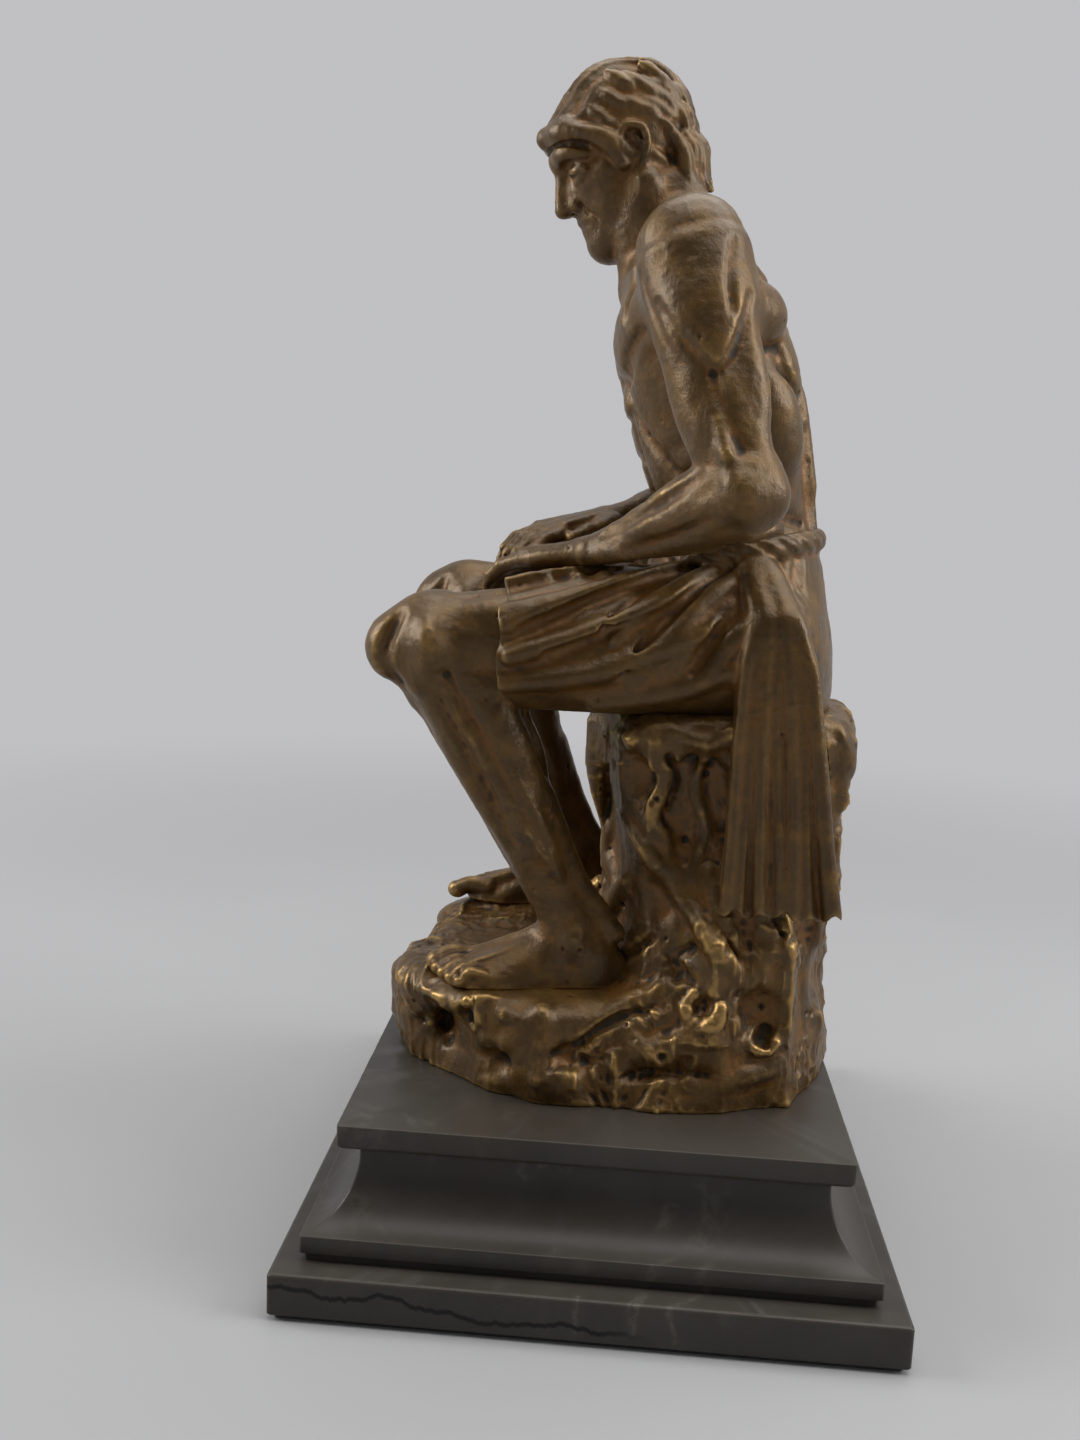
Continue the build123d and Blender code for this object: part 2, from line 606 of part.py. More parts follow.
# Shared places and planes
hem_plane = Plane((figure_x + hem_share * figure_height, 0, seat_height), z_dir=(1, 0, 0))
trunk_planes = standing_planes(trunk_shares)
pelvis_planes = standing_planes(pelvis_shares)
waist_plane = trunk_planes[1]
pelvis_planes[-1] = waist_plane
neck_plane = trunk_planes[-1]
left_knee, right_knee = on_figure(left_knee_share, LEFT), on_figure(right_knee_share, RIGHT)
left_ankle = on_foot(left_ankle_share, LEFT, left_foot_level)
right_ankle = on_foot(right_ankle_share, RIGHT, right_foot_level)
gaze = Vector(-cos(radians(head_turn)), -sin(radians(head_turn)), 0)
bow, rise = sin(radians(head_bow)), cos(radians(head_bow))
head_plane = Plane(
    on_figure(head_share), x_dir=gaze * rise - Vector(0, 0, bow), z_dir=gaze * bow + Vector(0, 0, rise)
)
hairline_front, hairline_side = (on_head((height, forward, 0)) for height, forward in hairline_shares)
hairline_plane = Plane(hairline_side, z_dir=(hairline_front - hairline_side).cross(head_plane.y_dir))
stud_places = [(-stud_spacing / 2, 0), (stud_spacing / 2, 0)]

# Bottom slab of the marble base
with BuildPart() as bottom_slab:
    with BuildSketch(Plane.XY.offset(slab_bottom)):
        Rectangle(base_width, base_depth)
    extrude(amount=slab_height)
    chamfer(bottom_slab.edges().group_by(Axis.Z)[-1], slab_chamfer)
    chamfer(bottom_slab.edges().group_by(Axis.Z)[0], slab_chamfer)
    with BuildSketch(Plane.XY.offset(slab_bottom)):
        with Locations(*stud_places):
            Circle(counterbore_radius)
    extrude(amount=counterbore_depth, mode=Mode.SUBTRACT)
    with BuildSketch(Plane.XY.offset(slab_bottom)):
        with Locations(*stud_places):
            Circle(stud_radius + stud_clearance)
    extrude(amount=slab_height, mode=Mode.SUBTRACT)


def block_profile(plane, width):
    """The outline of the moulded block across one of its sides."""
    half = width / 2
    with BuildSketch(plane) as outline:
        with BuildLine():
            Polyline(
                (0, slab_top), (half - quirk_inset, slab_top), (half - quirk_inset, fillet_bottom),
                (half - step_inset, fillet_bottom), (half - step_inset, fillet_top),
            )
            EllipticalCenterArc(
                (half - step_inset, cap_bottom - cove_throat), cove_inset - step_inset,
                cap_bottom - cove_throat - fillet_top, start_angle=180, arc_size=90,
            )
            EllipticalCenterArc(
                (half - cove_inset + cove_throat, cap_bottom - cove_throat), cove_throat, cove_throat,
                start_angle=90, arc_size=90,
            )
            Line(
                (half - cove_inset + cove_throat, cap_bottom), (half - cap_inset - cap_round, cap_bottom)
            )
            EllipticalCenterArc(
                (half - cap_inset - cap_round, cap_bottom + cap_round), cap_round, cap_round,
                start_angle=270, arc_size=90,
            )
            Polyline(
                (half - cap_inset, cap_bottom + cap_round), (half - cap_inset, base_top), (0, base_top),
                (0, slab_top),
            )
        make_face()
        mirror(about=Plane.YZ)
    return outline.sketch


# Moulded block of the marble base: the same profile cut along both its lengths
with BuildPart() as moulded_block:
    extrude(block_profile(Plane.XZ, base_width), amount=base_depth, both=True)
    extrude(block_profile(Plane.YZ, base_depth), amount=base_width, both=True, mode=Mode.INTERSECT)
    with BuildSketch(Plane.XY.offset(slab_top)):
        with Locations(*stud_places):
            Circle(stud_radius + stud_clearance)
    extrude(amount=base_top - slab_top, mode=Mode.SUBTRACT)

# Felt sheet glued under the slab, over the counterbores
with BuildPart() as felt_sheet:
    with BuildSketch():
        Rectangle(base_width - 2 * felt_inset, base_depth - 2 * felt_inset)
    extrude(amount=felt_thickness)

# Hollow of the rock, open at the marble
with BuildPart() as rock_hollow:
    add(rock_form(ground_ring_shares, ground_length, ground_depth, 0, left_foot_level, rock_wall))
    add(rock_form(column_ring_shares, column_length, column_depth, column_x, seat_height, rock_wall))

# Steel bar brazed across the hollow of the rock
bar_bottom = base_top + bar_lift
with BuildPart() as cross_bar:
    with BuildSketch(Plane.XY.offset(bar_bottom)):
        Rectangle(ground_length, bar_width)
        with Locations(*stud_places):
            Circle(stud_radius, mode=Mode.SUBTRACT)
    extrude(amount=bar_thickness)
    add(rock_hollow.part, mode=Mode.INTERSECT)

# Studs brazed into the bar, with nuts, spring washers and plain washers in the counterbores
washer_top = slab_bottom + counterbore_depth
spring_washer_top = washer_top - washer_thickness
nut_top = spring_washer_top - spring_washer_thickness
with BuildPart() as studs:
    with BuildSketch(Plane.XY.offset(nut_top - nut_height)):
        with Locations(*stud_places):
            Circle(stud_radius)
    extrude(amount=bar_bottom + bar_thickness - nut_top + nut_height)

with BuildPart() as washers:
    with BuildSketch(Plane.XY.offset(spring_washer_top)):
        with Locations(*stud_places):
            Circle(washer_radius)
            Circle(stud_radius, mode=Mode.SUBTRACT)
    extrude(amount=washer_thickness)

with BuildPart() as spring_washers:
    with BuildSketch(Plane.XY.offset(nut_top)):
        with Locations(*stud_places):
            Circle(spring_washer_radius)
            Circle(stud_radius, mode=Mode.SUBTRACT)
            with Locations((spring_washer_radius, 0)):
                Rectangle(spring_washer_radius * 2, spring_washer_slit, mode=Mode.SUBTRACT)
    extrude(amount=spring_washer_thickness)

with BuildPart() as nuts:
    with BuildSketch(Plane.XY.offset(nut_top - nut_height)):
        with Locations(*stud_places):
            RegularPolygon(nut_across_flats / 2, 6, major_radius=False)
            Circle(stud_radius, mode=Mode.SUBTRACT)
    extrude(amount=nut_height)

# Rock casting: ground, column and the raised ledge, hollowed from below
with BuildPart() as rock_mass:
    add(rock_form(ground_ring_shares, ground_length, ground_depth, 0, left_foot_level))
    add(rock_form(column_ring_shares, column_length, column_depth, column_x, seat_height))
    with BuildSketch(Plane.XY.offset(right_foot_level)):
        with Locations((ledge_x, ledge_y)):
            Polygon(*[(x * ledge_length, y * ledge_depth) for x, y in ledge_outline_shares], align=None)
    extrude(amount=left_foot_level - rock_wall / 2 - right_foot_level, taper=-ledge_draft)
    for back, out, up, radius in pit_shares:
        with Locations((back * ground_length, out * ground_depth, base_top + up * (seat_height - base_top))):
            Sphere(radius * seat_height, mode=Mode.SUBTRACT)

with BuildPart() as rock:
    add(rock_mass.part)
    add(rock_hollow.part, mode=Mode.SUBTRACT)

# Hips with the cloth wrapped round them and over the thighs, flat where they sit
with BuildPart() as waist_roll:
    with BuildLine(waist_plane) as waist_path:
        EllipticalCenterArc(
            (0, 0), pelvis_shares[-1][3] * figure_height + cloth_thickness,
            pelvis_shares[-1][2] * figure_height + cloth_thickness, start_angle=0, arc_size=360,
        )
    with BuildSketch(waist_path.line ^ 0):
        Circle(roll_radius)
    sweep()

with BuildPart() as lap_cloth:
    add(lofted(
        [Plane(on_figure((back, 0, up)), x_dir=across_body, z_dir=(-1, 0, 0))
         for back, up, _, _ in lap_shares],
        [(width * figure_height, height * figure_height) for _, _, width, height in lap_shares],
    ))
    for back, up, sag in swag_shares:
        add(swag(back, up, sag))

with BuildPart() as hips_hollow:
    add(hips_form(cloth_thickness - casting_wall))
    split(bisect_by=hem_plane.offset(casting_wall), keep=Keep.TOP)
    split(bisect_by=Plane.XY.offset(seat_height + casting_wall), keep=Keep.TOP)

with BuildPart() as hips_mass:
    add(hips_form(cloth_thickness))
    add(lap_cloth.part)
    for fold in thigh_fold_shares:
        add(thigh_fold(fold, LEFT, left_knee))
        add(thigh_fold(fold, RIGHT, right_knee))
    split(bisect_by=hem_plane, keep=Keep.TOP)
    split(bisect_by=Plane.XY.offset(seat_height), keep=Keep.TOP)
    split(bisect_by=waist_plane, keep=Keep.BOTTOM)

with BuildPart() as hips:
    add(hips_mass.part)
    add(hips_hollow.part, mode=Mode.SUBTRACT)
    add(waist_roll.part)

# Trunk casting, hollow from the waist
with BuildPart() as trunk_mass:
    add(trunk_form())
    for start, end, half_depth, half_breadth in trunk_muscle_shares:
        for side in (LEFT, RIGHT):
            ends = on_figure(start, side), on_figure(end, side)
            add(bulge(*ends, Vector(1, 0, 0), half_depth, half_breadth))
    split(bisect_by=waist_plane, keep=Keep.TOP)

with BuildPart() as trunk:
    add(trunk_mass.part)
    add(trunk_form(casting_wall), mode=Mode.SUBTRACT)
    add(waist_roll.part, mode=Mode.SUBTRACT)

# Head casting with its neck and short hair
with BuildPart() as hair:
    add(head_form(hair_section_shares))
    split(bisect_by=hairline_plane, keep=Keep.TOP)
    for shares in brow_lock_shares:
        add(head_detail(shares, LEFT))
        add(head_detail(shares, RIGHT))
    for shares in lock_shares:
        add(hair_lock(shares, LEFT))
        add(hair_lock(shares, RIGHT))

with BuildPart() as head:
    add(head_form(skull_section_shares))
    add(limb(neck_plane.origin, on_figure(skull_share), across_body, neck_shares))
    add(hair.part)
    for side in (LEFT, RIGHT):
        add(head_detail(eye_socket_shares, side), mode=Mode.SUBTRACT)
        add(head_detail(eyelid_shares, side))
        for shares in face_form_shares:
            add(head_detail(shares, side))
        add(ear_form(side, 1))
        add(ear_form(side, ear_hollow_share), mode=Mode.SUBTRACT)
    for places, half_height, half_depth in face_band_shares:
        add(face_band(places, half_height, half_depth))
    add(strand([on_head((height, forward, 0)) for height, forward, _ in nose_shares], head_plane.y_dir,
               [radius * figure_height for _, _, radius in nose_shares]))
    add(trunk_mass.part, mode=Mode.SUBTRACT)

# Arms, fitted to the trunk, the lap and each other
with BuildPart() as left_arm:
    add(arm_form(on_figure(left_elbow_share, LEFT), on_figure(left_wrist_share, LEFT),
                 on_figure(left_knuckle_share, LEFT), LEFT))
    add(trunk_mass.part, mode=Mode.SUBTRACT)
    add(hips_mass.part, mode=Mode.SUBTRACT)

with BuildPart() as right_arm:
    add(arm_form(on_figure(right_elbow_share, RIGHT), on_figure(right_wrist_share, RIGHT),
                 on_figure(right_knuckle_share, RIGHT), RIGHT))
    add(trunk_mass.part, mode=Mode.SUBTRACT)
    add(hips_mass.part, mode=Mode.SUBTRACT)
    add(left_arm.part, mode=Mode.SUBTRACT)

# Legs from the hem of the cloth to the soles
with BuildPart() as left_leg:
    add(leg_form(left_knee, left_ankle, LEFT, left_foot_level))
    add(hips_mass.part, mode=Mode.SUBTRACT)
    add(rock_mass.part, mode=Mode.SUBTRACT)

with BuildPart() as right_leg:
    add(leg_form(right_knee, right_ankle, RIGHT, right_foot_level))
    add(hips_mass.part, mode=Mode.SUBTRACT)
    add(rock_mass.part, mode=Mode.SUBTRACT)

# Hanging end of the cloth, fitted to the hips and the rock
with BuildPart() as cloth_end:
    sections = []
    for down, back, out, size in cloth_end_section_shares:
        share_back, share_out, share_up = cloth_end_share
        middle = on_figure((share_back + back, share_out + out, share_up), LEFT)
        middle -= Vector(0, 0, down * cloth_end_length)
        outline = [(x * cloth_end_width * size, y * cloth_end_thickness) for x, y in cloth_end_outline_shares]
        with BuildSketch(Plane(middle, x_dir=(1, 0, 0), z_dir=(0, 0, 1))) as section:
            with BuildLine():
                Spline(*outline, periodic=True)
            make_face()
        sections.append(section.sketch)
    loft(sections)
    add(hips_mass.part, mode=Mode.SUBTRACT)
    add(rock_mass.part, mode=Mode.SUBTRACT)

felt_sheet.part.label = "felt_sheet"
bottom_slab.part.label = "bottom_slab"
moulded_block.part.label = "moulded_block"
studs.part.label = "studs"
washers.part.label = "washers"
spring_washers.part.label = "spring_washers"
nuts.part.label = "nuts"
cross_bar.part.label = "cross_bar"
rock.part.label = "rock"
hips.part.label = "hips"
cloth_end.part.label = "cloth_end"
trunk.part.label = "trunk"
head.part.label = "head"
left_arm.part.label = "left_arm"
right_arm.part.label = "right_arm"
left_leg.part.label = "left_leg"
right_leg.part.label = "right_leg"

os.makedirs("parts", exist_ok=True)
export_step(felt_sheet.part, "parts/felt_sheet.step")
export_step(bottom_slab.part, "parts/bottom_slab.step")
export_step(moulded_block.part, "parts/moulded_block.step")
export_step(studs.part, "parts/studs.step")
export_step(washers.part, "parts/washers.step")
export_step(spring_washers.part, "parts/spring_washers.step")
export_step(nuts.part, "parts/nuts.step")
export_step(cross_bar.part, "parts/cross_bar.step")
export_step(rock.part, "parts/rock.step")
export_step(hips.part, "parts/hips.step")
export_step(cloth_end.part, "parts/cloth_end.step")
export_step(trunk.part, "parts/trunk.step")
export_step(head.part, "parts/head.step")
export_step(left_arm.part, "parts/left_arm.step")
export_step(right_arm.part, "parts/right_arm.step")
export_step(left_leg.part, "parts/left_leg.step")
export_step(right_leg.part, "parts/right_leg.step")
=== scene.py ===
import math

import bpy
import numpy as np
from mathutils import Matrix, Vector, kdtree


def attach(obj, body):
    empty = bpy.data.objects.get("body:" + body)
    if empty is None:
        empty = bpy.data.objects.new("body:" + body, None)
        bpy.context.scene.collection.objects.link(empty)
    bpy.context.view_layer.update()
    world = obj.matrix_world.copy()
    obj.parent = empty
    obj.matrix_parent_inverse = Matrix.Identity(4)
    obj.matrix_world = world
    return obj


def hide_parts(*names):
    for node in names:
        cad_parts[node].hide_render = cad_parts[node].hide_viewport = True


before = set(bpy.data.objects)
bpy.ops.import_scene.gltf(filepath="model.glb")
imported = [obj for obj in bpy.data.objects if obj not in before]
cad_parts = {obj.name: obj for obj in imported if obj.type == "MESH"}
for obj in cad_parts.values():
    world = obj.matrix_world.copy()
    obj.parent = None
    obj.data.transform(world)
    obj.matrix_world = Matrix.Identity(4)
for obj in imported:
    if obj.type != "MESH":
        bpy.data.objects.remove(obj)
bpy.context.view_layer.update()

# The figure and the rock are modelled as distance fields in millimetres, on the sizes of the
# CAD part, then turned into meshes. FIGURE is the man's standing height, SEAT the height that
# he sits at, and MIDDLE the place of his hips from front to back.
FIGURE = 300.0
SEAT = 128.0
MIDDLE = 28.0
LEFT, RIGHT = -1, 1
MM = 0.001
# The base: its outline, and the tops of its felt, its slab and its block, where the rock stands.
WIDTH, DEPTH = 135.0, 149.0
FELT_TOP, SLAB_TOP, GROUND = 0.8, 10.7, 39.3


def spot(share, side=1):
    """A place on the figure, from shares of its height: back, out to the side, up."""
    back, out, up = share
    return np.array([MIDDLE + back * FIGURE, side * out * FIGURE, SEAT + up * FIGURE])


def unit(v):
    v = np.asarray(v, float)
    return v / np.linalg.norm(v)


def axes(along, across):
    """Three square directions: across as near as it can be, through, and along."""
    w = unit(along)
    u = np.asarray(across, float)
    u = unit(u - w * (u @ w))
    return u, np.cross(w, u), w


# ---------------------------------------------------------------- distance field
def fillet(gap, k):
    """What a soft join of width k adds where two distances differ by the gap."""
    h = np.maximum(k - np.abs(gap), 0.0)
    return h * h * (0.25 / k)


class Field:
    """A distance field on a grid whose lines lie closer where there is finer detail."""

    EMPTY = 30.0

    def __init__(self, lo, hi, step, fine=None):
        self.lines = []
        for a in range(3):
            parts = [np.arange(lo[a], hi[a] + step, step)]
            if fine:
                f0, f1, fine_step = fine[a]
                parts = [np.arange(lo[a], f0, step), np.arange(f0, f1, fine_step),
                         np.arange(f1, hi[a] + step, step)]
            self.lines.append(np.concatenate(parts).astype(np.float32))
        self.d = np.full([len(l) for l in self.lines], self.EMPTY, np.float32)

    def window(self, lo, hi):
        return tuple(
            slice(max(np.searchsorted(l, a) - 1, 0), min(np.searchsorted(l, b) + 1, len(l)))
            for l, a, b in zip(self.lines, lo, hi)
        )

    def grid(self, win=(slice(None),) * 3):
        x, y, z = (l[s] for l, s in zip(self.lines, win))
        return x[:, None, None], y[None, :, None], z[None, None, :]

    def add(self, shape, k=1.5):
        self.mix(shape, k, lambda a, b: np.minimum(a, b) - fillet(a - b, k))

    def cut(self, shape, k=1.0):
        self.mix(shape, k, lambda a, b: np.maximum(a, -b) + fillet(a + b, k))

    def mix(self, shape, k, rule):
        lo, hi, far = shape
        pad = k + 2.5
        win = self.window(lo - pad, hi + pad)
        if all(s.stop > s.start for s in win):
            self.d[win] = rule(self.d[win], far(*self.grid(win)).astype(np.float32))

    def trim(self, outside, win=(slice(None),) * 3):
        """Takes away what lies where outside is more than nothing."""
        self.d[win] = np.maximum(self.d[win], outside.astype(np.float32))


def ellipsoid(centre, radii, along=(0, 0, 1), across=(1, 0, 0)):
    """An ellipsoid whose radii run across, through and along."""
    c = np.asarray(centre, float)
    u, v, w = axes(along, across)
    ru, rv, rw = radii
    reach = np.sqrt((u * ru) ** 2 + (v * rv) ** 2 + (w * rw) ** 2)

    def far(x, y, z):
        x, y, z = x - c[0], y - c[1], z - c[2]
        a = (x * u[0] + y * u[1] + z * u[2]) / ru
        b = (x * v[0] + y * v[1] + z * v[2]) / rv
        e = (x * w[0] + y * w[1] + z * w[2]) / rw
        k0 = np.sqrt(a * a + b * b + e * e)
        k1 = np.sqrt((a / ru) ** 2 + (b / rv) ** 2 + (e / rw) ** 2) + 1e-6
        return k0 * (k0 - 1.0) / k1

    return c - reach, c + reach, far


def muscle(start, end, half_across, half_through, across=(1, 0, 0), over=1.12):
    """A belly of flesh from start to end."""
    start, end = np.asarray(start, float), np.asarray(end, float)
    return ellipsoid(
        (start + end) / 2, (half_across, half_through, np.linalg.norm(end - start) / 2 * over),
        end - start, across,
    )


def chain(start, end, across, rows, power=2.0):
    """A limb through elliptic sections: along, shift through, half across, half through."""
    start, end = np.asarray(start, float), np.asarray(end, float)
    length = np.linalg.norm(end - start)
    u, v, w = axes(end - start, across)
    rows = np.asarray(rows, float)
    fine = np.linspace(rows[0, 0], rows[-1, 0], 160)
    table = [smooth_table(fine, rows[:, 0], rows[:, i]) for i in (1, 2, 3)]
    lo_t, hi_t = rows[0, 0], rows[-1, 0]
    r = rows[:, 2:].max() + np.abs(rows[:, 1]).max()
    ends = np.array([start + w * lo_t * length, start + w * hi_t * length])

    def far(x, y, z):
        x, y, z = x - start[0], y - start[1], z - start[2]
        t = (x * w[0] + y * w[1] + z * w[2]) / length
        tc = np.clip(t, lo_t, hi_t)
        place = ((tc - lo_t) / (hi_t - lo_t) * (len(fine) - 1)).astype(np.float32)
        i = np.minimum(place.astype(np.int32), len(fine) - 2)
        f = place - i
        shift, ru, rv = (c[i] * (1 - f) + c[i + 1] * f for c in table)
        rw = np.minimum(ru, rv)
        a = (x * u[0] + y * u[1] + z * u[2]) / ru
        b = (x * v[0] + y * v[1] + z * v[2] - shift) / rv
        e = (t - tc) * length / rw
        k0 = round_k0 = np.sqrt(a * a + b * b + e * e)
        if power != 2.0:
            k0 = (np.abs(a) ** power + np.abs(b) ** power + np.abs(e) ** power) ** (1 / power)
        k1 = np.sqrt((a / ru) ** 2 + (b / rv) ** 2 + (e / rw) ** 2) / np.maximum(round_k0, 1e-4)
        return (k0 - 1.0) / np.maximum(k1, 1e-4)

    return ends.min(0) - r, ends.max(0) + r, far


def smooth_table(x, xs, ys):
    """Values between table rows on a smooth curve that doesn't overshoot."""
    h, s = np.diff(xs), np.diff(ys) / np.diff(xs)
    m = np.zeros(len(xs))
    m[0], m[-1] = s[0], s[-1]
    same = s[:-1] * s[1:] > 0
    m[1:-1] = np.where(same, 2 * s[:-1] * s[1:] / np.where(same, s[:-1] + s[1:], 1), 0)
    i = np.clip(np.searchsorted(xs, x) - 1, 0, len(h) - 1)
    t = (x - xs[i]) / h[i]
    out = (
        (2 * t**3 - 3 * t**2 + 1) * ys[i] + (t**3 - 2 * t**2 + t) * h[i] * m[i]
        + (3 * t**2 - 2 * t**3) * ys[i + 1] + (t**3 - t**2) * h[i] * m[i + 1]
    )
    return out.astype(np.float32)


def strand(points, radii):
    """A rounded strand through points, such as a finger, a tendon, a lock or a fold."""
    points, radii = np.asarray(points, float), np.asarray(radii, float)
    n = max(len(points) * 5, 8)
    s = np.linspace(0, len(points) - 1, n)
    xs = np.arange(len(points), dtype=float)
    fine = np.stack([smooth_table(s, xs, points[:, i]) for i in range(3)], 1).astype(float)
    wide = smooth_table(s, xs, radii).astype(float)

    def far(x, y, z):
        best = None
        for p, q, rp, rq in zip(fine[:-1], fine[1:], wide[:-1], wide[1:]):
            d = q - p
            ll = d @ d + 1e-9
            px, py, pz = x - p[0], y - p[1], z - p[2]
            t = np.clip((px * d[0] + py * d[1] + pz * d[2]) / ll, 0, 1)
            ex, ey, ez = px - t * d[0], py - t * d[1], pz - t * d[2]
            dist = np.sqrt(ex * ex + ey * ey + ez * ez) - (rp + (rq - rp) * t)
            best = dist if best is None else np.minimum(best, dist)
        return best

    return fine.min(0) - radii.max(), fine.max(0) + radii.max(), far


def surface(f, start, way):
    """The place where a line from inside a body leaves it."""
    way = unit(way)
    for t in np.arange(0.0, 30.0, 0.25):
        at = start + way * t
        if f.d[tuple(min(int(np.searchsorted(l, q)), len(l) - 1) for l, q in zip(f.lines, at))] > 0:
            break
    return at


def press(f, lines, radii, k):
    """A groove over the skin: each line runs from inside the body out through the skin."""
    f.cut(strand([surface(f, a, b - a) for a, b in lines], radii), k)


def noise(p, seed=0):
    """Smooth noise from -1 to 1 at an array of points."""
    base = np.floor(p).astype(np.int64)
    f = p - base
    f = f * f * f * (f * (f * 6 - 15) + 10)
    total = 0.0
    for corner in np.ndindex(2, 2, 2):
        n, weight = seed * 144665, 1.0
        for a, prime in enumerate((374761393, 668265263, 974634777)):
            n = n + (base[..., a] + corner[a]) * prime
            weight = weight * (f[..., a] if corner[a] else 1 - f[..., a])
        n = n & 0x7FFFFFFF
        n = ((n ^ (n >> 13)) * 1274126177) & 0x7FFFFFFF
        n = (n ^ (n >> 16)) & 0xFFFF
        total = total + weight * (n / 32767.5 - 1.0)
    return total


EDGES = [(a, b) for a in range(8) for b in range(8) if b > a and bin(a ^ b).count("1") == 1]


def skin(field):
    """The surface of a field, as vertices and faces of four corners."""
    d, lines = field.d, field.lines
    inside = d < 0
    count = np.zeros([n - 1 for n in d.shape], np.uint8)
    for c in range(8):
        s = tuple(slice(1, None) if c >> a & 1 else slice(0, -1) for a in range(3))
        count += inside[s]
    active = (count > 0) & (count < 8)
    del count
    cell = np.stack(np.nonzero(active), 1)
    number = np.full(active.shape, -1, np.int32)
    number[active] = np.arange(len(cell))
    corner = np.array([[c >> a & 1 for a in range(3)] for c in range(8)])
    values = np.stack([d[tuple((cell + corner[c]).T)] for c in range(8)], 1)
    total, hits = np.zeros((len(cell), 3)), np.zeros(len(cell))
    for a, b in EDGES:
        va, vb = values[:, a], values[:, b]
        m = (va < 0) != (vb < 0)
        t = np.where(m, va / np.where(m, va - vb, 1), 0)
        total += m[:, None] * (corner[a] + t[:, None] * (corner[b] - corner[a]))
        hits += m
    place = total / hits[:, None]
    low, high = ([lines[a][cell[:, a] + up] for a in range(3)] for up in (0, 1))
    verts = np.stack([low[a] * (1 - place[:, a]) + high[a] * place[:, a] for a in range(3)], 1)
    faces = []
    for a in range(3):
        b, c = (a + 1) % 3, (a + 2) % 3
        lo = [slice(None)] * 3
        hi = [slice(None)] * 3
        lo[a], hi[a] = slice(0, -1), slice(1, None)
        for e in (b, c):
            lo[e] = hi[e] = slice(1, -1)
        first, second = inside[tuple(lo)], inside[tuple(hi)]
        edge = np.stack(np.nonzero(first != second), 1)
        out = first[tuple(edge.T)]
        edge[:, b] += 1
        edge[:, c] += 1
        ring = []
        for db, dc in ((-1, -1), (0, -1), (0, 0), (-1, 0)):
            q = edge.copy()
            q[:, b] += db
            q[:, c] += dc
            ring.append(number[tuple(q.T)])
        ring = np.stack(ring, 1)
        ring[~out] = ring[~out][:, ::-1]
        faces.append(ring)
    return verts, np.concatenate(faces)


def ease(verts, faces, rounds, share=0.5):
    """Moves each vertex towards the middle of its neighbours."""
    a = np.concatenate([faces[:, i] for i in range(4)])
    b = np.concatenate([faces[:, (i + 1) % 4] for i in range(4)])
    n = len(verts)
    near = np.bincount(a, minlength=n) + np.bincount(b, minlength=n)
    for _ in range(rounds):
        total = np.stack(
            [np.bincount(a, verts[b, i], n) + np.bincount(b, verts[a, i], n) for i in range(3)], 1
        )
        verts = verts + (total / near[:, None] - verts) * share
    return verts


def normals(verts, faces):
    p = verts[faces]
    n = np.cross(p[:, 2] - p[:, 0], p[:, 3] - p[:, 1])
    out = np.zeros_like(verts)
    for i in range(4):
        for a in range(3):
            out[:, a] += np.bincount(faces[:, i], n[:, a], len(verts))
    return out / np.maximum(np.linalg.norm(out, axis=1), 1e-9)[:, None]


def place(name, mesh, material, slot, *replaced):
    """Puts a mesh into the scene, riding on the part's body in place of CAD nodes."""
    obj = bpy.data.objects.new(name, mesh)
    bpy.context.scene.collection.objects.link(obj)
    mesh.materials.append(material)
    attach(obj, "root")
    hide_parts(*replaced)


def smooth_mesh(name, verts, faces):
    """A smooth mesh in metres."""
    mesh = bpy.data.meshes.new(name)
    mesh.vertices.add(len(verts))
    mesh.vertices.foreach_set("co", (verts * MM).astype(np.float32).ravel())
    mesh.loops.add(faces.size)
    mesh.loops.foreach_set("vertex_index", faces.astype(np.int32).ravel())
    mesh.polygons.add(len(faces))
    mesh.polygons.foreach_set("loop_start",
                              np.arange(0, faces.size, faces.shape[1], dtype=np.int32))
    mesh.update(calc_edges=True)
    mesh.validate()
    mesh.polygons.foreach_set("use_smooth", np.ones(len(mesh.polygons), bool))
    return mesh


# ---------------------------------------------------------------- the man
hip = {s: spot((0.0, 0.056, 0.050), s) for s in (LEFT, RIGHT)}
knee = {LEFT: spot((-0.235, 0.090, 0.043), LEFT), RIGHT: spot((-0.232, 0.094, 0.061), RIGHT)}
sole = {LEFT: 62.0, RIGHT: 66.0}
ankle = {
    LEFT: np.array([MIDDLE - 0.120 * FIGURE, -0.084 * FIGURE, 62.0 + 12.0]),
    RIGHT: np.array([MIDDLE - 0.126 * FIGURE, 0.080 * FIGURE, 66.0 + 12.0]),
}
shoulder = {s: spot((-0.058, 0.112, 0.326), s) for s in (LEFT, RIGHT)}
elbow = {LEFT: spot((-0.012, 0.156, 0.162), LEFT), RIGHT: spot((-0.016, 0.150, 0.166), RIGHT)}
wrist = {LEFT: spot((-0.122, 0.058, 0.117), LEFT), RIGHT: spot((-0.112, 0.052, 0.142), RIGHT)}
knuckle = {LEFT: spot((-0.172, 0.022, 0.107), LEFT), RIGHT: spot((-0.164, 0.006, 0.129), RIGHT)}
skull = spot((-0.094, 0.0, 0.398))
head = spot((-0.114, 0.0, 0.424))
HEM = MIDDLE - 0.185 * FIGURE

def shares(*rows):
    """A table that is written in thousandths: places along a limb, then shares of his height."""
    return [tuple(v / 1000 for v in row) for row in rows]


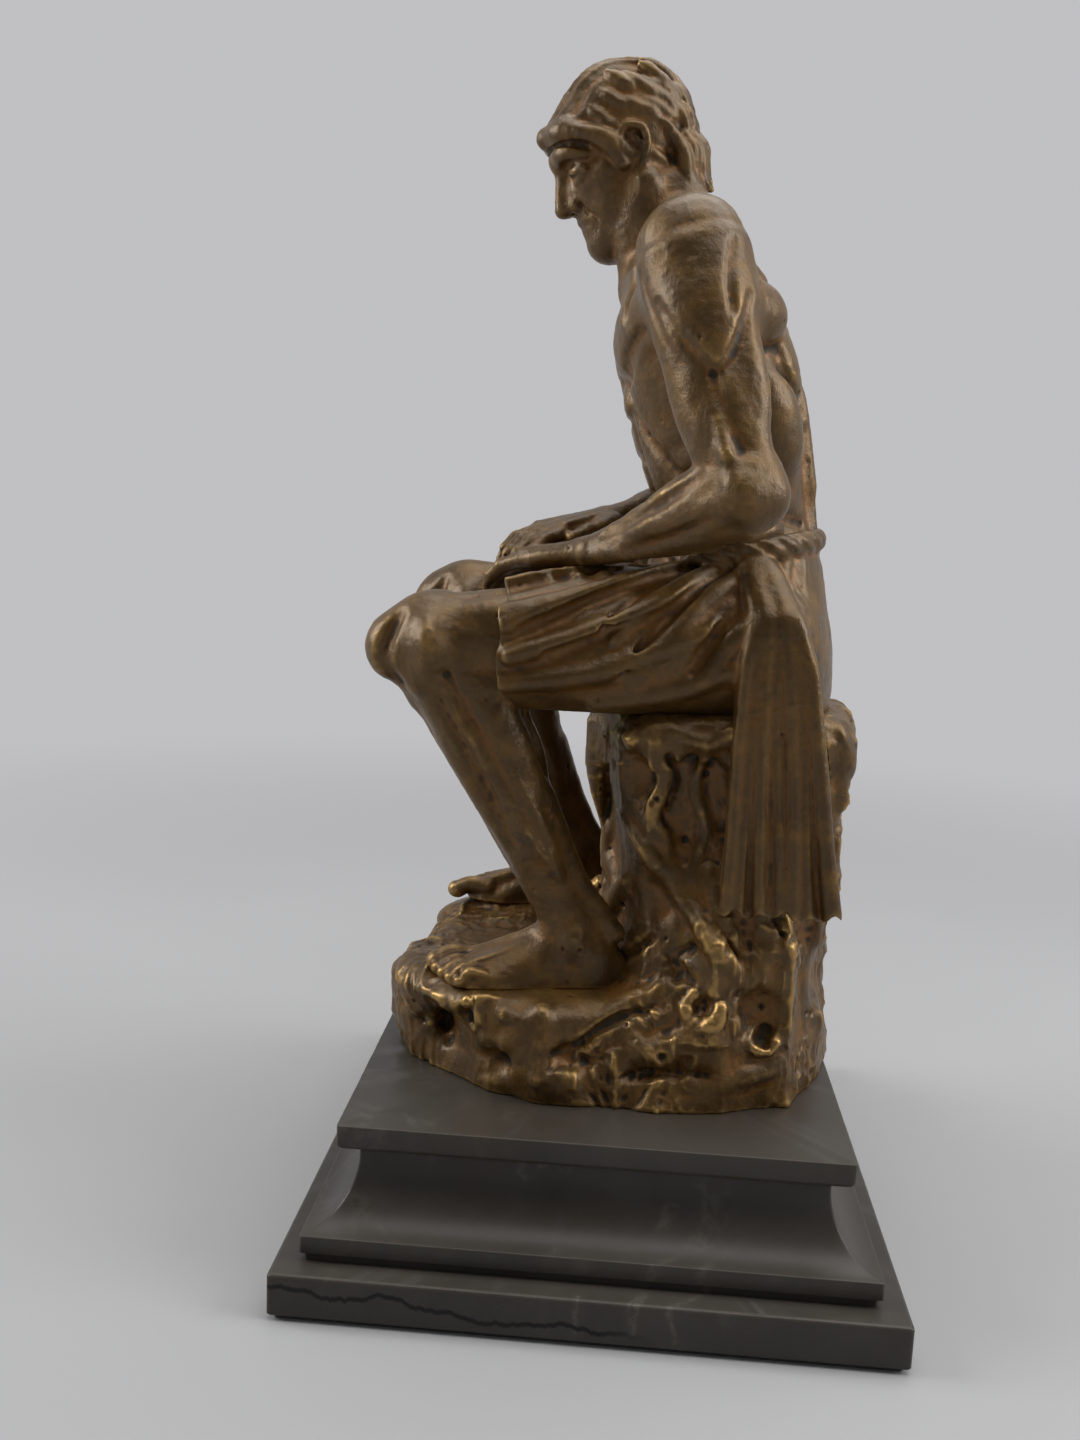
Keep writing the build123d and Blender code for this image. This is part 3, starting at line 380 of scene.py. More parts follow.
THIGH = shares(
    (0, 0, 58, 56), (250, 0, 55, 55), (550, 1, 47, 49),
    (820, 1, 38, 42), (1000, 0, 34, 37), (1120, 2, 26, 27),
)
SHANK = shares(
    (-50, -2, 29, 31), (80, 0, 33, 35), (240, 4, 33, 35),
    (420, 6, 31, 32), (650, 3, 24, 25), (850, 1, 18, 21),
    (1000, 1, 19, 23), (1060, 2, 18, 22),
)
FOOT = shares(
    (40, 0, 15, 22), (100, 0, 19, 28), (200, 0, 21, 36),
    (340, 0, 21, 43), (520, 1, 24, 32), (680, 2, 27, 22),
    (800, 2, 26, 15), (860, 2, 22, 11),
)
UPPER_ARM = shares(
    (-60, 2, 34, 38), (0, 2, 37, 41), (200, 1, 37, 40),
    (420, -2, 30, 35), (620, -2, 28, 33), (850, 1, 24, 27),
    (1000, 2, 23, 26),
)
FOREARM = shares(
    (0, 0, 24, 25), (240, 0, 26, 28), (520, 0, 22, 22),
    (820, 0, 16.5, 14), (1000, 0, 16, 12), (1080, 0, 15, 10),
)
PALM = shares(
    (-100, 0, 14, 10), (100, 0, 17, 11), (550, 0, 23, 11),
    (1000, 0, 24, 8), (1080, 0, 22, 6),
)
TRUNK = shares(
    (2, 80, 80, 56), (-3, 124, 80, 56), (-12, 165, 83, 60),
    (-28, 225, 94, 67), (-43, 275, 104, 67), (-54, 315, 104, 56),
    (-62, 340, 75, 46), (-68, 356, 46, 41),
)


def scaled(rows, grow=0.0):
    return [(t, s * FIGURE, a * FIGURE + grow, b * FIGURE + grow) for t, s, a, b in rows]


def upright(rows, grow=0.0):
    """Sections up the middle of the body, for chain: its ends and its rows."""
    start, end = spot((rows[0][0], 0, rows[0][1])), spot((rows[-1][0], 0, rows[-1][1]))
    u, v, w = axes(end - start, (0, 1, 0))
    out = []
    for back, up, wide, deep in rows:
        p = spot((back, 0, up)) - start
        out.append((p @ w / np.linalg.norm(end - start), p @ v, wide * FIGURE + grow,
                    deep * FIGURE + grow))
    return start, end, (0, 1, 0), out


def add_trunk(f):
    f.add(chain(*upright(TRUNK), power=2.3), 0.1)
    for s in (LEFT, RIGHT):
        p = lambda back, out, up: spot((back, out, up), s)
        # chest, in two bellies that run to the arm
        f.add(muscle(p(-0.094, 0.012, 0.268), p(-0.070, 0.104, 0.300), 8.0, 9.6, (1, 0, 0.25)), 1.9)
        f.add(muscle(p(-0.088, 0.020, 0.296), p(-0.064, 0.104, 0.316), 7.0, 6.0, (1, 0, 0.3)), 1.9)
        # collar bone, and the slope from the neck to the shoulder
        f.add(strand([p(-0.100, 0.012, 0.320), p(-0.092, 0.050, 0.328), p(-0.066, 0.104, 0.345)],
                     [1.7, 1.5, 2.0]), 3.0)
        f.add(muscle(p(-0.052, 0.012, 0.356), p(-0.050, 0.108, 0.332), 10.0, 6.5, (1, 0, 0)), 3.1)
        f.add(muscle(p(-0.040, 0.030, 0.350), p(-0.004, 0.060, 0.300), 8.0, 5.5, (0, 1, 0)), 2.5)
        # shoulder blade with its spine, and the muscles below and behind the arm
        f.add(muscle(p(0.000, 0.036, 0.300), p(0.026, 0.052, 0.236), 11.0, 4.2, (0, 1, 0)), 2.2)
        f.add(strand([p(-0.036, 0.106, 0.338), p(-0.006, 0.074, 0.318), p(0.012, 0.034, 0.300)],
                     [2.2, 2.0, 1.4]), 3.0)
        f.add(muscle(p(0.004, 0.070, 0.286), p(-0.026, 0.112, 0.300), 7.0, 7.0, (0, 0, 1)), 2.2)
        f.add(muscle(p(-0.012, 0.088, 0.262), p(0.020, 0.062, 0.180), 7.5, 8.0, (0, 1, 0)), 3.1)
        # the two columns beside the spine
        f.add(strand([p(0.006, 0.020, 0.310), p(0.026, 0.022, 0.240), p(0.036, 0.024, 0.180),
                      p(0.042, 0.026, 0.120)],
                     [3.4, 3.8, 4.4, 5.0]), 3.4)
        # ribs and their finger-like muscles, flank and belly
        for i in range(4):
            up = 0.262 - 0.021 * i
            f.add(strand([p(-0.012 + 0.004 * i, 0.098 - 0.002 * i, up + 0.012),
                          p(-0.046 + 0.003 * i, 0.094 - 0.004 * i, up - 0.004),
                          p(-0.072 + 0.004 * i, 0.074 - 0.004 * i, up - 0.012)], [1.2, 2.0, 1.0]),
                  3.0)
        f.add(muscle(p(-0.010, 0.076, 0.175), p(-0.008, 0.072, 0.118), 8.5, 6.0, (1, 0, 0)), 3.1)
        for i, up in enumerate((0.232, 0.204, 0.176, 0.148)):
            x = -0.094 + 0.014 * i + 0.0025 * i * i
            f.add(ellipsoid(p(x + 0.010, 0.020, up), (4.4, 5.4, 4.2), (0, 0, 1), (1, 0, 0)), 2.6)
        # nape of the neck and the long muscle from the ear to the collar bone
        f.add(strand([p(-0.104, 0.008, 0.322), p(-0.104, 0.022, 0.352), p(-0.092, 0.036, 0.396)],
                     [1.6, 2.3, 2.6]), 3.0)
        f.add(strand([p(-0.026, 0.014, 0.330), p(-0.050, 0.016, 0.360), p(-0.064, 0.018, 0.400)],
                     [3.8, 3.8, 3.4]), 3.0)
    f.add(chain(spot((-0.066, 0, 0.345)), skull, (0, 1, 0),
                [(-0.3, 0, 12.5, 11.8), (0.0, 0, 11.8, 11.4), (0.5, 0, 10.6, 10.8),
                 (1.2, 0, 10.0, 10.4)]), 5.0)
    # the edges of the muscles, pressed in
    for s in (LEFT, RIGHT):
        p = lambda back, out, up: spot((back, out, up), s)
        out_of = lambda back, out, up, share=0.35: (p(-0.03, out * share, up), p(back, out, up))
        press(f, [out_of(-0.15, 0.020, 0.250), out_of(-0.15, 0.056, 0.248),
                  out_of(-0.13, 0.086, 0.262), out_of(-0.10, 0.110, 0.280)],
              [0.7, 1.3, 1.3, 0.7], 2.6)
        press(f, [out_of(-0.15, 0.050, 0.244), out_of(-0.14, 0.062, 0.222),
                  out_of(-0.12, 0.084, 0.200), out_of(-0.08, 0.110, 0.176)],
              [0.6, 1.2, 1.2, 0.6], 2.6)
        press(f, [out_of(-0.15, 0.046, up) for up in (0.222, 0.196, 0.168, 0.142)],
              [0.6, 1.0, 1.1, 0.6], 2.6)
        for up in (0.219, 0.190, 0.162):
            press(f, [out_of(-0.15, 0.006, up), out_of(-0.15, 0.024, up + 0.002),
                      out_of(-0.15, 0.042, up)], [0.6, 0.8, 0.4], 1.8)
        press(f, [out_of(-0.16, 0.086, 0.336), out_of(-0.16, 0.100, 0.314),
                  out_of(-0.15, 0.108, 0.290)], [0.6, 1.1, 0.8], 2.0)
        press(f, [out_of(0.10, 0.030, 0.316), out_of(0.10, 0.040, 0.290),
                  out_of(0.10, 0.044, 0.262), out_of(0.10, 0.052, 0.238)],
              [0.8, 1.5, 1.6, 0.9], 3.0)
        press(f, [out_of(0.10, 0.056, 0.232), out_of(0.08, 0.084, 0.236),
                  out_of(0.04, 0.116, 0.256)], [0.6, 0.9, 0.5], 3.0)
        press(f, [out_of(0.10, 0.060, 0.300), out_of(0.08, 0.086, 0.314),
                  out_of(0.04, 0.110, 0.318)], [0.7, 1.0, 0.6], 2.0)
        press(f, [out_of(0.10, 0.050 + 0.004 * math.sin(40 * up), up) for up in (0.214, 0.184,
                                                                                 0.154, 0.128)],
              [0.5, 0.9, 1.0, 0.6], 4.2)
        press(f, [out_of(-0.06, 0.120, 0.262), out_of(-0.045, 0.115, 0.234),
                  out_of(-0.03, 0.108, 0.200), out_of(-0.02, 0.104, 0.170)],
              [0.7, 1.2, 1.1, 0.6], 2.6)
        press(f, [out_of(-0.02, 0.104, 0.142), out_of(0.03, 0.090, 0.150),
                  out_of(0.07, 0.060, 0.146)], [0.6, 1.1, 0.7], 2.6)
    # spine, breastbone and navel hollows
    f.cut(strand([spot(q) for q in ((-0.022, 0, 0.362), (0.026, 0, 0.300), (0.048, 0, 0.235),
                                    (0.056, 0, 0.175), (0.061, 0, 0.110))],
                 [1.3, 2.0, 2.4, 2.4, 2.2]), 5.5)
    f.cut(strand([spot(q) for q in ((-0.122, 0, 0.318), (-0.128, 0, 0.285), (-0.122, 0, 0.250),
                                    (-0.104, 0, 0.200))],
                 [1.2, 1.8, 1.6, 1.4]), 3.5)
    f.cut(ellipsoid(spot((-0.086, 0, 0.166)), (2.0, 1.1, 1.4), (0, 0, 1), (1, 0, 0)), 1.6)
    f.cut(ellipsoid(spot((-0.116, 0, 0.334)), (3.0, 2.6, 2.6)), 3.0)


def add_arm(f, s):
    a, b, c = shoulder[s], elbow[s], wrist[s]
    up = b - a
    out = np.array([0.0, s, 0.0])
    f.add(chain(a, b, (0, 1, 0), scaled(UPPER_ARM)), 5.0)
    u, v, w = axes(up, (0, 1, 0))
    fore = -v if v[0] > 0 else v
    side = u * s
    q = lambda t, forward, outward: a + up * t + fore * forward + side * outward
    # shoulder cap in three bellies
    f.add(muscle(q(-0.10, 0.0, 3.0), q(0.48, 0.6, 7.2), 8.6, 5.6, fore), 1.7)
    f.add(muscle(q(-0.08, 7.0, -2.5), q(0.44, 4.0, 5.4), 5.4, 5.0, side), 1.7)
    f.add(muscle(q(-0.06, -7.5, -1.0), q(0.42, -3.5, 5.6), 5.6, 5.0, side), 1.7)
    # front and back of the upper arm
    f.add(muscle(q(0.28, 5.4, -1.0), q(0.94, 4.2, 0.0), 6.6, 5.2, side), 1.5)
    f.add(muscle(q(0.20, -5.8, 2.2), q(0.74, -5.4, 2.4), 5.2, 4.6, side), 1.5)
    f.add(muscle(q(0.22, -6.0, -3.4), q(0.78, -5.0, -2.4), 4.8, 4.6, side), 1.5)
    f.add(muscle(q(0.56, 0.4, 5.6), q(0.98, 2.4, 4.6), 3.0, 4.0, fore), 1.6)
    # the edges between them, pressed in
    g = lambda t, forward, outward: (a + up * t, a + up * t + fore * forward + side * outward)
    press(f, [g(0.20, 10, 7), g(0.38, 6, 9), g(0.53, 1, 12), g(0.42, -6, 9), g(0.26, -10, 7)],
          [0.7, 0.9, 0.6, 0.8, 0.5], 2.2)
    press(f, [g(0.54, 2, 10), g(0.66, 1, 10), g(0.80, 0, 10), g(0.92, -2, 10)],
          [0.8, 1.3, 1.3, 0.6], 2.2)
    press(f, [g(0.34, -1, -10), g(0.56, -1, -10), g(0.84, -1, -10)], [0.7, 1.3, 0.7], 2.2)
    press(f, [g(0.46, -10, 1.6), g(0.64, -10, 1.2), g(0.84, -10, 1.0)], [0.6, 1.0, 1.2], 2.2)
    press(f, [g(0.03, 10, 3), g(0.20, 10, 4.6), g(0.36, 9, 6)], [0.5, 0.8, 0.5], 1.8)
    press(f, [g(0.04, -8, 8), g(0.18, -6, 10), g(0.32, -5, 10)], [0.3, 0.5, 0.3], 2.0)
    # elbow
    f.add(ellipsoid(b - fore * 4.6 + w * 0.4, (4.6, 3.8, 5.2), up, side), 2.6)
    f.add(ellipsoid(b + side * 5.4 + fore * 1.0, (3.6, 3.6, 4.0)), 3.0)
    f.add(ellipsoid(b - side * 5.6, (3.4, 3.4, 4.0)), 3.0)
    # forearm
    line = c - b
    f.add(chain(b, c, np.cross(line, (0, 0, 1)), scaled(FOREARM)), 3.0)
    o, t, w2 = axes(line, out)
    top = t if t[2] > 0 else -t
    r = lambda along, outward, rise: b + line * along + o * outward + top * rise
    f.add(muscle(r(-0.10, 1.8, 6.0), r(0.50, 3.0, 3.6), 4.6, 4.6, o), 1.5)
    f.add(muscle(r(0.04, 5.4, 0.6), r(0.60, 3.4, 1.0), 3.6, 4.8, o), 1.5)
    f.add(muscle(r(0.04, -4.2, -1.6), r(0.62, -2.6, -0.6), 4.4, 4.8, o), 1.6)
    f.add(strand([r(0.0, 2.4, -6.2), r(0.45, 4.2, -3.8), r(0.95, 3.8, -0.8)], [2.0, 1.7, 2.0]), 2.4)
    f.add(ellipsoid(r(0.95, 3.6, 0.8), (2.2, 2.2, 2.6)), 1.8)
    g = lambda t, outward, rise: (b + line * t, b + line * t + o * outward + top * rise)
    press(f, [g(0.10, 7, 8), g(0.30, 8, 6), g(0.55, 8, 5), g(0.80, 8, 5)], [0.6, 1.0, 0.9, 0.5],
          1.7)
    press(f, [g(0.12, 9, -2), g(0.36, 9, -3), g(0.66, 9, -3)], [0.6, 1.0, 0.5], 1.7)
    press(f, [g(0.08, -6, 8), g(0.32, -6, 7), g(0.62, -5, 7)], [0.6, 1.0, 0.5], 1.7)


def add_hand(f, s):
    w, k = wrist[s], knuckle[s]
    forward = unit(k - w)
    out = unit(np.cross(forward, (0, 0, 1))) * s
    down = np.cross(forward, out) * s
    f.add(chain(w, k, out, scaled(PALM)), 2.5)
    fingers = ((-5.6, 10.8, 1.78), (-1.9, 12.3, 1.84), (1.9, 12.0, 1.82), (5.4, 9.8, 1.62))
    for i, (place, reach, r) in enumerate(fingers):
        root = k + out * place - forward * 2.0
        fan = out * (i - 1.5) * 0.03
        pts = [root]
        heading = unit(forward + fan + down * 0.06)
        for share, bend in ((0.46, 0.10), (0.32, 0.42), (0.22, 0.42)):
            heading = unit(heading + down * bend)
            pts.append(pts[-1] + heading * (reach + 3.0) * share)
        f.add(strand(pts, [r * 1.04, r * 1.06, r * 0.97, r * 0.80]), 0.7)
        for joint in pts[:3]:
            f.add(ellipsoid(joint - down * 0.35, (r, r * 0.92, r * 0.9)), 0.8)
        f.add(strand([w - down * 2.2 + out * place * 0.45,
                      k - forward * 3.0 + out * place - down * 1.9], [0.6, 0.7]), 1.2)
        nail = pts[3] - heading * 0.7
        f.cut(strand([nail + out * 0.9 - down * 1.55, nail - out * 0.9 - down * 1.55],
                     [0.35, 0.35]), 0.4)
    thumb = [w + forward * 2.0 - out * 4.6, w + forward * 8.6 - out * 8.4 + down * 0.6,
             w + forward * 14.4 - out * 9.4 + down * 0.8,
             w + forward * 18.8 - out * 9.0 + down * 1.0]
    f.add(strand(thumb, [2.6, 2.5, 2.0, 1.5]), 1.6)
    f.add(muscle(w + forward * 1.0 - out * 3.6 + down * 1.0,
                 w + forward * 9.0 - out * 7.6 + down * 1.4, 3.4, 2.8, out), 2.0)
    f.add(ellipsoid(thumb[2] - down * 0.3, (2.1, 2.0, 2.1)), 1.0)


def add_leg(f, s):
    h, k, a = hip[s], knee[s], ankle[s]
    f.add(chain(h, k, (0, 1, 0), scaled(THIGH)), 2.0)
    f.add(chain(k, a, (0, 1, 0), scaled(SHANK)), 4.0)
    line = k - h
    w = unit(line)
    up = unit(np.array([0, 0, 1.0]) - w * w[2])
    out = np.array([0.0, s, 0.0])
    q = lambda t, rise, outward: h + line * t + up * rise + out * outward
    # muscles above the knee
    f.add(muscle(q(0.52, 7.0, -6.0), q(0.96, 5.2, -6.4), 5.0, 5.4, out), 2.0)
    f.add(muscle(q(0.40, 7.0, 6.6), q(0.90, 7.0, 5.8), 5.0, 5.0, out), 2.0)
    f.add(muscle(q(0.40, 9.6, 0.4), q(0.98, 9.0, 0.0), 4.4, 3.4, out), 2.0)
    f.add(strand([q(0.55, -9.0, 7.4), q(0.90, -7.6, 7.6), q(1.04, -8.6, 6.4)], [2.2, 2.0, 1.6]),
          3.0)
    f.add(strand([q(0.55, -9.0, -6.4), q(0.90, -7.6, -7.2), q(1.04, -9.4, -6.6)], [2.4, 2.2, 1.8]),
          3.0)
    # kneecap, its tendon and the sides of the joint
    shin = a - k
    v = unit(shin)
    front = unit(np.array([-1.0, 0, 0]) + v * v[0])
    r = lambda t, forward, outward: k + shin * t + front * forward + out * outward
    f.add(ellipsoid(k + front * 7.6 + up * 3.8, (5.0, 4.2, 6.0), (0.5, 0, 1), out), 2.2)
    f.add(strand([r(0.03, 10.0, 0), r(0.13, 9.4, 0)], [2.0, 2.2]), 2.4)
    f.add(ellipsoid(k + out * 7.4 + up * 0.5, (4.0, 6.6, 6.4)), 3.5)
    f.add(ellipsoid(k - out * 7.2 + up * 0.2, (4.2, 6.8, 6.6)), 3.5)
    # calf in two bellies, the muscle beside the shin, the shin and the heel tendon
    f.add(muscle(r(0.06, -5.6, -3.8), r(0.54, -6.6, -2.6), 6.2, 6.2, out), 1.6)
    f.add(muscle(r(0.06, -5.4, 4.0), r(0.48, -6.0, 3.4), 5.6, 5.6, out), 1.6)
    f.add(muscle(r(0.30, -2.6, 5.2), r(0.80, -3.2, 3.6), 5.0, 3.6, out), 1.7)
    f.add(muscle(r(0.08, 4.6, 4.6), r(0.66, 3.6, 2.6), 4.6, 4.0, out), 1.6)
    f.add(strand([r(0.12, 8.8, -1.2), r(0.45, 7.4, -2.0), r(0.86, 4.8, -1.6)], [2.0, 1.7, 1.6]),
          2.4)
    f.add(strand([r(0.58, -7.4, 0), r(0.86, -7.0, 0), r(1.06, -9.0, 0)], [2.6, 2.0, 2.4]), 2.6)
    g = lambda t, forward, outward: (k + shin * t, k + shin * t + front * forward + out * outward)
    press(f, [g(0.10, -1, 10), g(0.28, -2, 10), g(0.48, -3, 10), g(0.70, -5, 9)],
          [0.7, 1.3, 1.2, 0.7], 2.2)
    press(f, [g(0.16, 3, 10), g(0.40, 3, 10), g(0.66, 4, 9)], [0.6, 1.0, 0.6], 2.0)
    press(f, [g(0.12, -2, -10), g(0.36, -2, -10), g(0.66, -4, -9)], [0.7, 1.2, 0.7], 2.2)
    press(f, [g(0.12, -10, 0.4), g(0.30, -10, 0.4), g(0.50, -10, 0.2)], [0.6, 1.2, 0.7], 2.2)
    for turn in (1, -1):
        press(f, [(k, k + front * 7 + up * 9 + out * 6 * turn),
                  (k, k + front * 10 + up * 2 + out * 7.6 * turn),
                  (k + shin * 0.06, k + shin * 0.06 + front * 10 + out * 5 * turn)],
              [0.8, 1.5, 0.8], 2.4)
    f.add(ellipsoid(a + out * 4.7 + np.array([1.0, 0, -0.8]), (2.7, 2.3, 3.2)), 2.4)
    f.add(ellipsoid(a - out * 4.7 + np.array([-0.6, 0, 0.8]), (2.9, 2.3, 3.4)), 2.4)
    f.cut(ellipsoid(a + out * 6.6 + np.array([6.6, 0, 3.4]), (3.0, 2.0, 5.0)), 2.4)
    f.cut(ellipsoid(a - out * 6.6 + np.array([6.4, 0, 3.6]), (3.0, 2.0, 5.0)), 2.4)
    # foot
    level = sole[s]
    ahead = unit((-1, s * 0.14, 0))
    side = np.array([-ahead[1], ahead[0], 0.0]) * -s
    length = 0.148 * FIGURE
    heel = np.array([a[0], a[1], level]) - ahead * length * 0.26
    f.add(chain(heel, heel + ahead * length, side,
                [(t, 0, x * FIGURE, z * FIGURE) for t, _, x, z in FOOT]), 4.0)
    g = lambda t, outward, rise: heel + ahead * length * t + side * outward + np.array([0, 0, rise])
    f.add(ellipsoid(g(0.13, 0.0, 4.6), (5.2, 6.0, 5.0), (0, 0, 1), side), 3.0)
    f.add(strand([g(0.34, -1.0, 12.0), g(0.55, -2.6, 9.0), g(0.78, -4.6, 5.0)], [2.4, 1.6, 1.2]),
          2.4)
    for outward in (-4.6, -1.6, 1.0, 3.4):
        f.add(strand([g(0.46, outward * 0.3, 9.6), g(0.80, outward, 4.6)], [0.7, 0.8]), 1.4)
    toes = ((-5.5, 9.4, 2.45), (-2.0, 9.4, 1.75), (1.0, 8.6, 1.62), (3.8, 7.4, 1.55),
            (6.2, 5.8, 1.50))
    for i, (outward, reach, r0) in enumerate(toes):
        base = g(0.78 - 0.012 * i, outward, 2.9 if i else 3.2)
        tip = base + ahead * reach
        mid = base + ahead * reach * 0.5 + np.array([0, 0, 0.6])
        tip[2] = level + r0 * 0.86
        mid[2] = max(mid[2], level + r0 + 0.8)
        f.add(strand([base, mid, tip - ahead * 0.6, tip], [r0 * 0.95, r0 * 0.9, r0, r0 * 0.86]),
              0.7)
        nail = tip + np.array([0, 0, r0 * 0.98])
        f.cut(strand([nail - side * r0 * 0.5, nail + side * r0 * 0.5], [0.35, 0.35]), 0.35)
    f.cut(ellipsoid(g(0.44, -9.4, 1.0), (3.4, 8.0, 3.6), (0, 0, 1), side), 3.0)


HEAD_BOW, HEAD_TURN = math.radians(28), math.radians(9)
gaze = np.array([-math.cos(HEAD_TURN), -math.sin(HEAD_TURN), 0.0])
head_x = gaze * math.cos(HEAD_BOW) - np.array([0, 0, math.sin(HEAD_BOW)])
head_z = gaze * math.sin(HEAD_BOW) + np.array([0, 0, math.cos(HEAD_BOW)])
head_y = np.cross(head_z, head_x)


def on_head(height, forward, out=0.0, s=LEFT):
    return head + head_x * forward + head_z * height - head_y * out * s


def lump(place, radii):
    """An ellipsoid whose radii run forward, across and up the head."""
    return ellipsoid(place, radii, head_z, head_x)


def add_head(f):
    h = on_head
    # skull, face block and jaw
    f.add(lump(h(3.0, -2.2), (15.2, 12.4, 16.6)), 0.1)
    f.add(lump(h(-4.0, 5.0), (9.6, 10.6, 13.4)), 3.0)
    f.add(lump(h(8.4, 6.6), (8.6, 10.6, 7.6)), 3.0)
    f.add(lump(h(-10.0, 7.6), (7.0, 6.8, 7.4)), 3.0)
    f.add(strand([h(3.0, 12.4), h(-1.0, 13.2), h(-4.8, 14.2)], [1.8, 2.5, 3.0]), 2.0)
    for s in (LEFT, RIGHT):
        p = lambda height, forward, out: on_head(height, forward, out, s)
        f.add(strand([p(-5.0, -1.0, 9.4), p(-10.8, 1.4, 8.6), p(-15.6, 8.4, 4.6),
                      p(-17.2, 11.4, 0.0)],
                     [2.6, 2.8, 2.8, 3.0]), 3.0)
        f.add(muscle(p(-2.8, 10.6, 4.6), p(-3.4, 4.4, 10.2), 2.6, 2.8, head_z), 2.4)
        f.add(muscle(p(-6.0, 8.4, 6.0), p(-12.0, 6.4, 6.6), 3.0, 3.0, head_x), 3.0)
        # brow ridge and eye socket
        f.add(strand([p(4.6, 14.2, 1.4), p(5.0, 13.5, 5.6), p(2.8, 9.6, 10.0)], [1.7, 1.8, 1.5]),
              2.2)
        f.cut(lump(p(0.6, 14.5, 6.0), (2.8, 3.6, 2.7)), 1.6)
        f.add(lump(p(-0.1, 10.8, 5.7), (2.3, 3.3, 2.3)), 1.2)
        # lids, lowered in thought
        f.add(strand([p(-0.1, 12.0, 3.1), p(0.5, 13.2, 5.0), p(0.2, 12.7, 7.2), p(-0.7, 10.9, 9.0)],
                     [0.4, 0.6, 0.6, 0.4]), 0.9)
        f.add(strand([p(-0.6, 12.0, 3.1), p(-1.9, 12.8, 5.0), p(-1.8, 12.3, 7.2),
                      p(-0.9, 10.9, 8.9)], [0.3, 0.35, 0.35, 0.3]), 1.0)
        f.cut(strand([p(-0.6, 12.5, 3.6), p(-0.7, 13.5, 5.2), p(-0.9, 12.8, 7.6)],
                     [0.15, 0.30, 0.2]), 0.3)
        # nostril and its wing
        f.add(lump(p(-6.0, 14.6, 2.0), (2.0, 1.5, 1.4)), 1.0)
        f.cut(lump(p(-7.0, 15.6, 1.4), (1.0, 0.6, 0.7)), 0.5)
        # ear: rim, inner fold, lobe and hollow
        e = p(-1.8, -0.6, 12.0)
        q = lambda hh, ff, oo: e + head_z * hh + head_x * ff - head_y * oo * s
        f.add(lump(q(0, 0.2, -0.4), (2.6, 1.4, 4.4)), 1.2)
        f.add(strand([q(0.6, 2.4, 0.4), q(3.6, 2.0, 1.0), q(4.9, -0.6, 1.6), q(3.2, -2.9, 2.0),
                      q(-0.6, -2.7, 1.8), q(-3.4, -0.6, 1.0),
                      q(-4.4, 0.8, 0.3)], [0.7, 0.85, 0.9, 0.9, 0.85, 1.0, 1.1]), 0.7)
        f.add(strand([q(2.2, -1.2, 1.2), q(-0.6, -1.4, 1.2), q(-2.2, 0.2, 0.7)], [0.5, 0.6, 0.5]),
              0.6)
        f.cut(lump(q(0.2, 0.9, 1.5), (1.3, 1.2, 1.9)), 0.7)
        # corner of the mouth, and the fold from nose to mouth
        f.cut(strand([p(-10.7, 15.1, 1.6), p(-10.9, 14.2, 3.4), p(-11.2, 12.6, 5.0)],
                     [0.3, 0.34, 0.4]), 0.5)
        f.cut(strand([p(-6.2, 13.9, 3.8), p(-8.6, 13.4, 4.9), p(-11.0, 12.4, 6.2)],
                     [0.4, 0.5, 0.4]), 1.2)
        f.add(strand([p(-9.6, 14.4, 0.6), p(-9.7, 13.9, 2.4), p(-10.8, 12.2, 4.7)],
                     [1.1, 1.0, 0.5]), 0.9)
        f.add(strand([p(-12.0, 13.9, 0.4), p(-12.1, 13.3, 2.2), p(-11.4, 12.0, 4.5)],
                     [1.3, 1.2, 0.5]), 0.9)
        f.cut(lump(p(4.0, 9.4, 12.6), (4.0, 1.6, 3.6)), 2.6)
    # nose, lips' middle, chin
    f.add(strand([h(4.2, 14.2), h(1.0, 15.2), h(-2.6, 16.9), h(-5.2, 17.8)], [1.5, 1.35, 1.5, 1.7]),
          1.5)
    f.add(lump(h(-5.6, 16.9), (1.9, 1.7, 1.4)), 1.2)
    f.cut(strand([h(-7.6, 15.6), h(-8.8, 15.4)], [0.35, 0.4]), 0.7)
    f.cut(strand([h(-10.9, 15.6, -1.6), h(-10.8, 15.8, 0), h(-10.9, 15.6, 1.6)], [0.3, 0.32, 0.3]),
          0.4)
    f.cut(lump(h(-13.9, 14.8), (1.1, 3.4, 0.9)), 1.6)
    f.add(lump(h(-14.2, 8.8), (5.6, 5.8, 5.2)), 3.0)
    f.add(lump(h(-16.4, 11.6), (3.2, 4.6, 2.8)), 3.4)


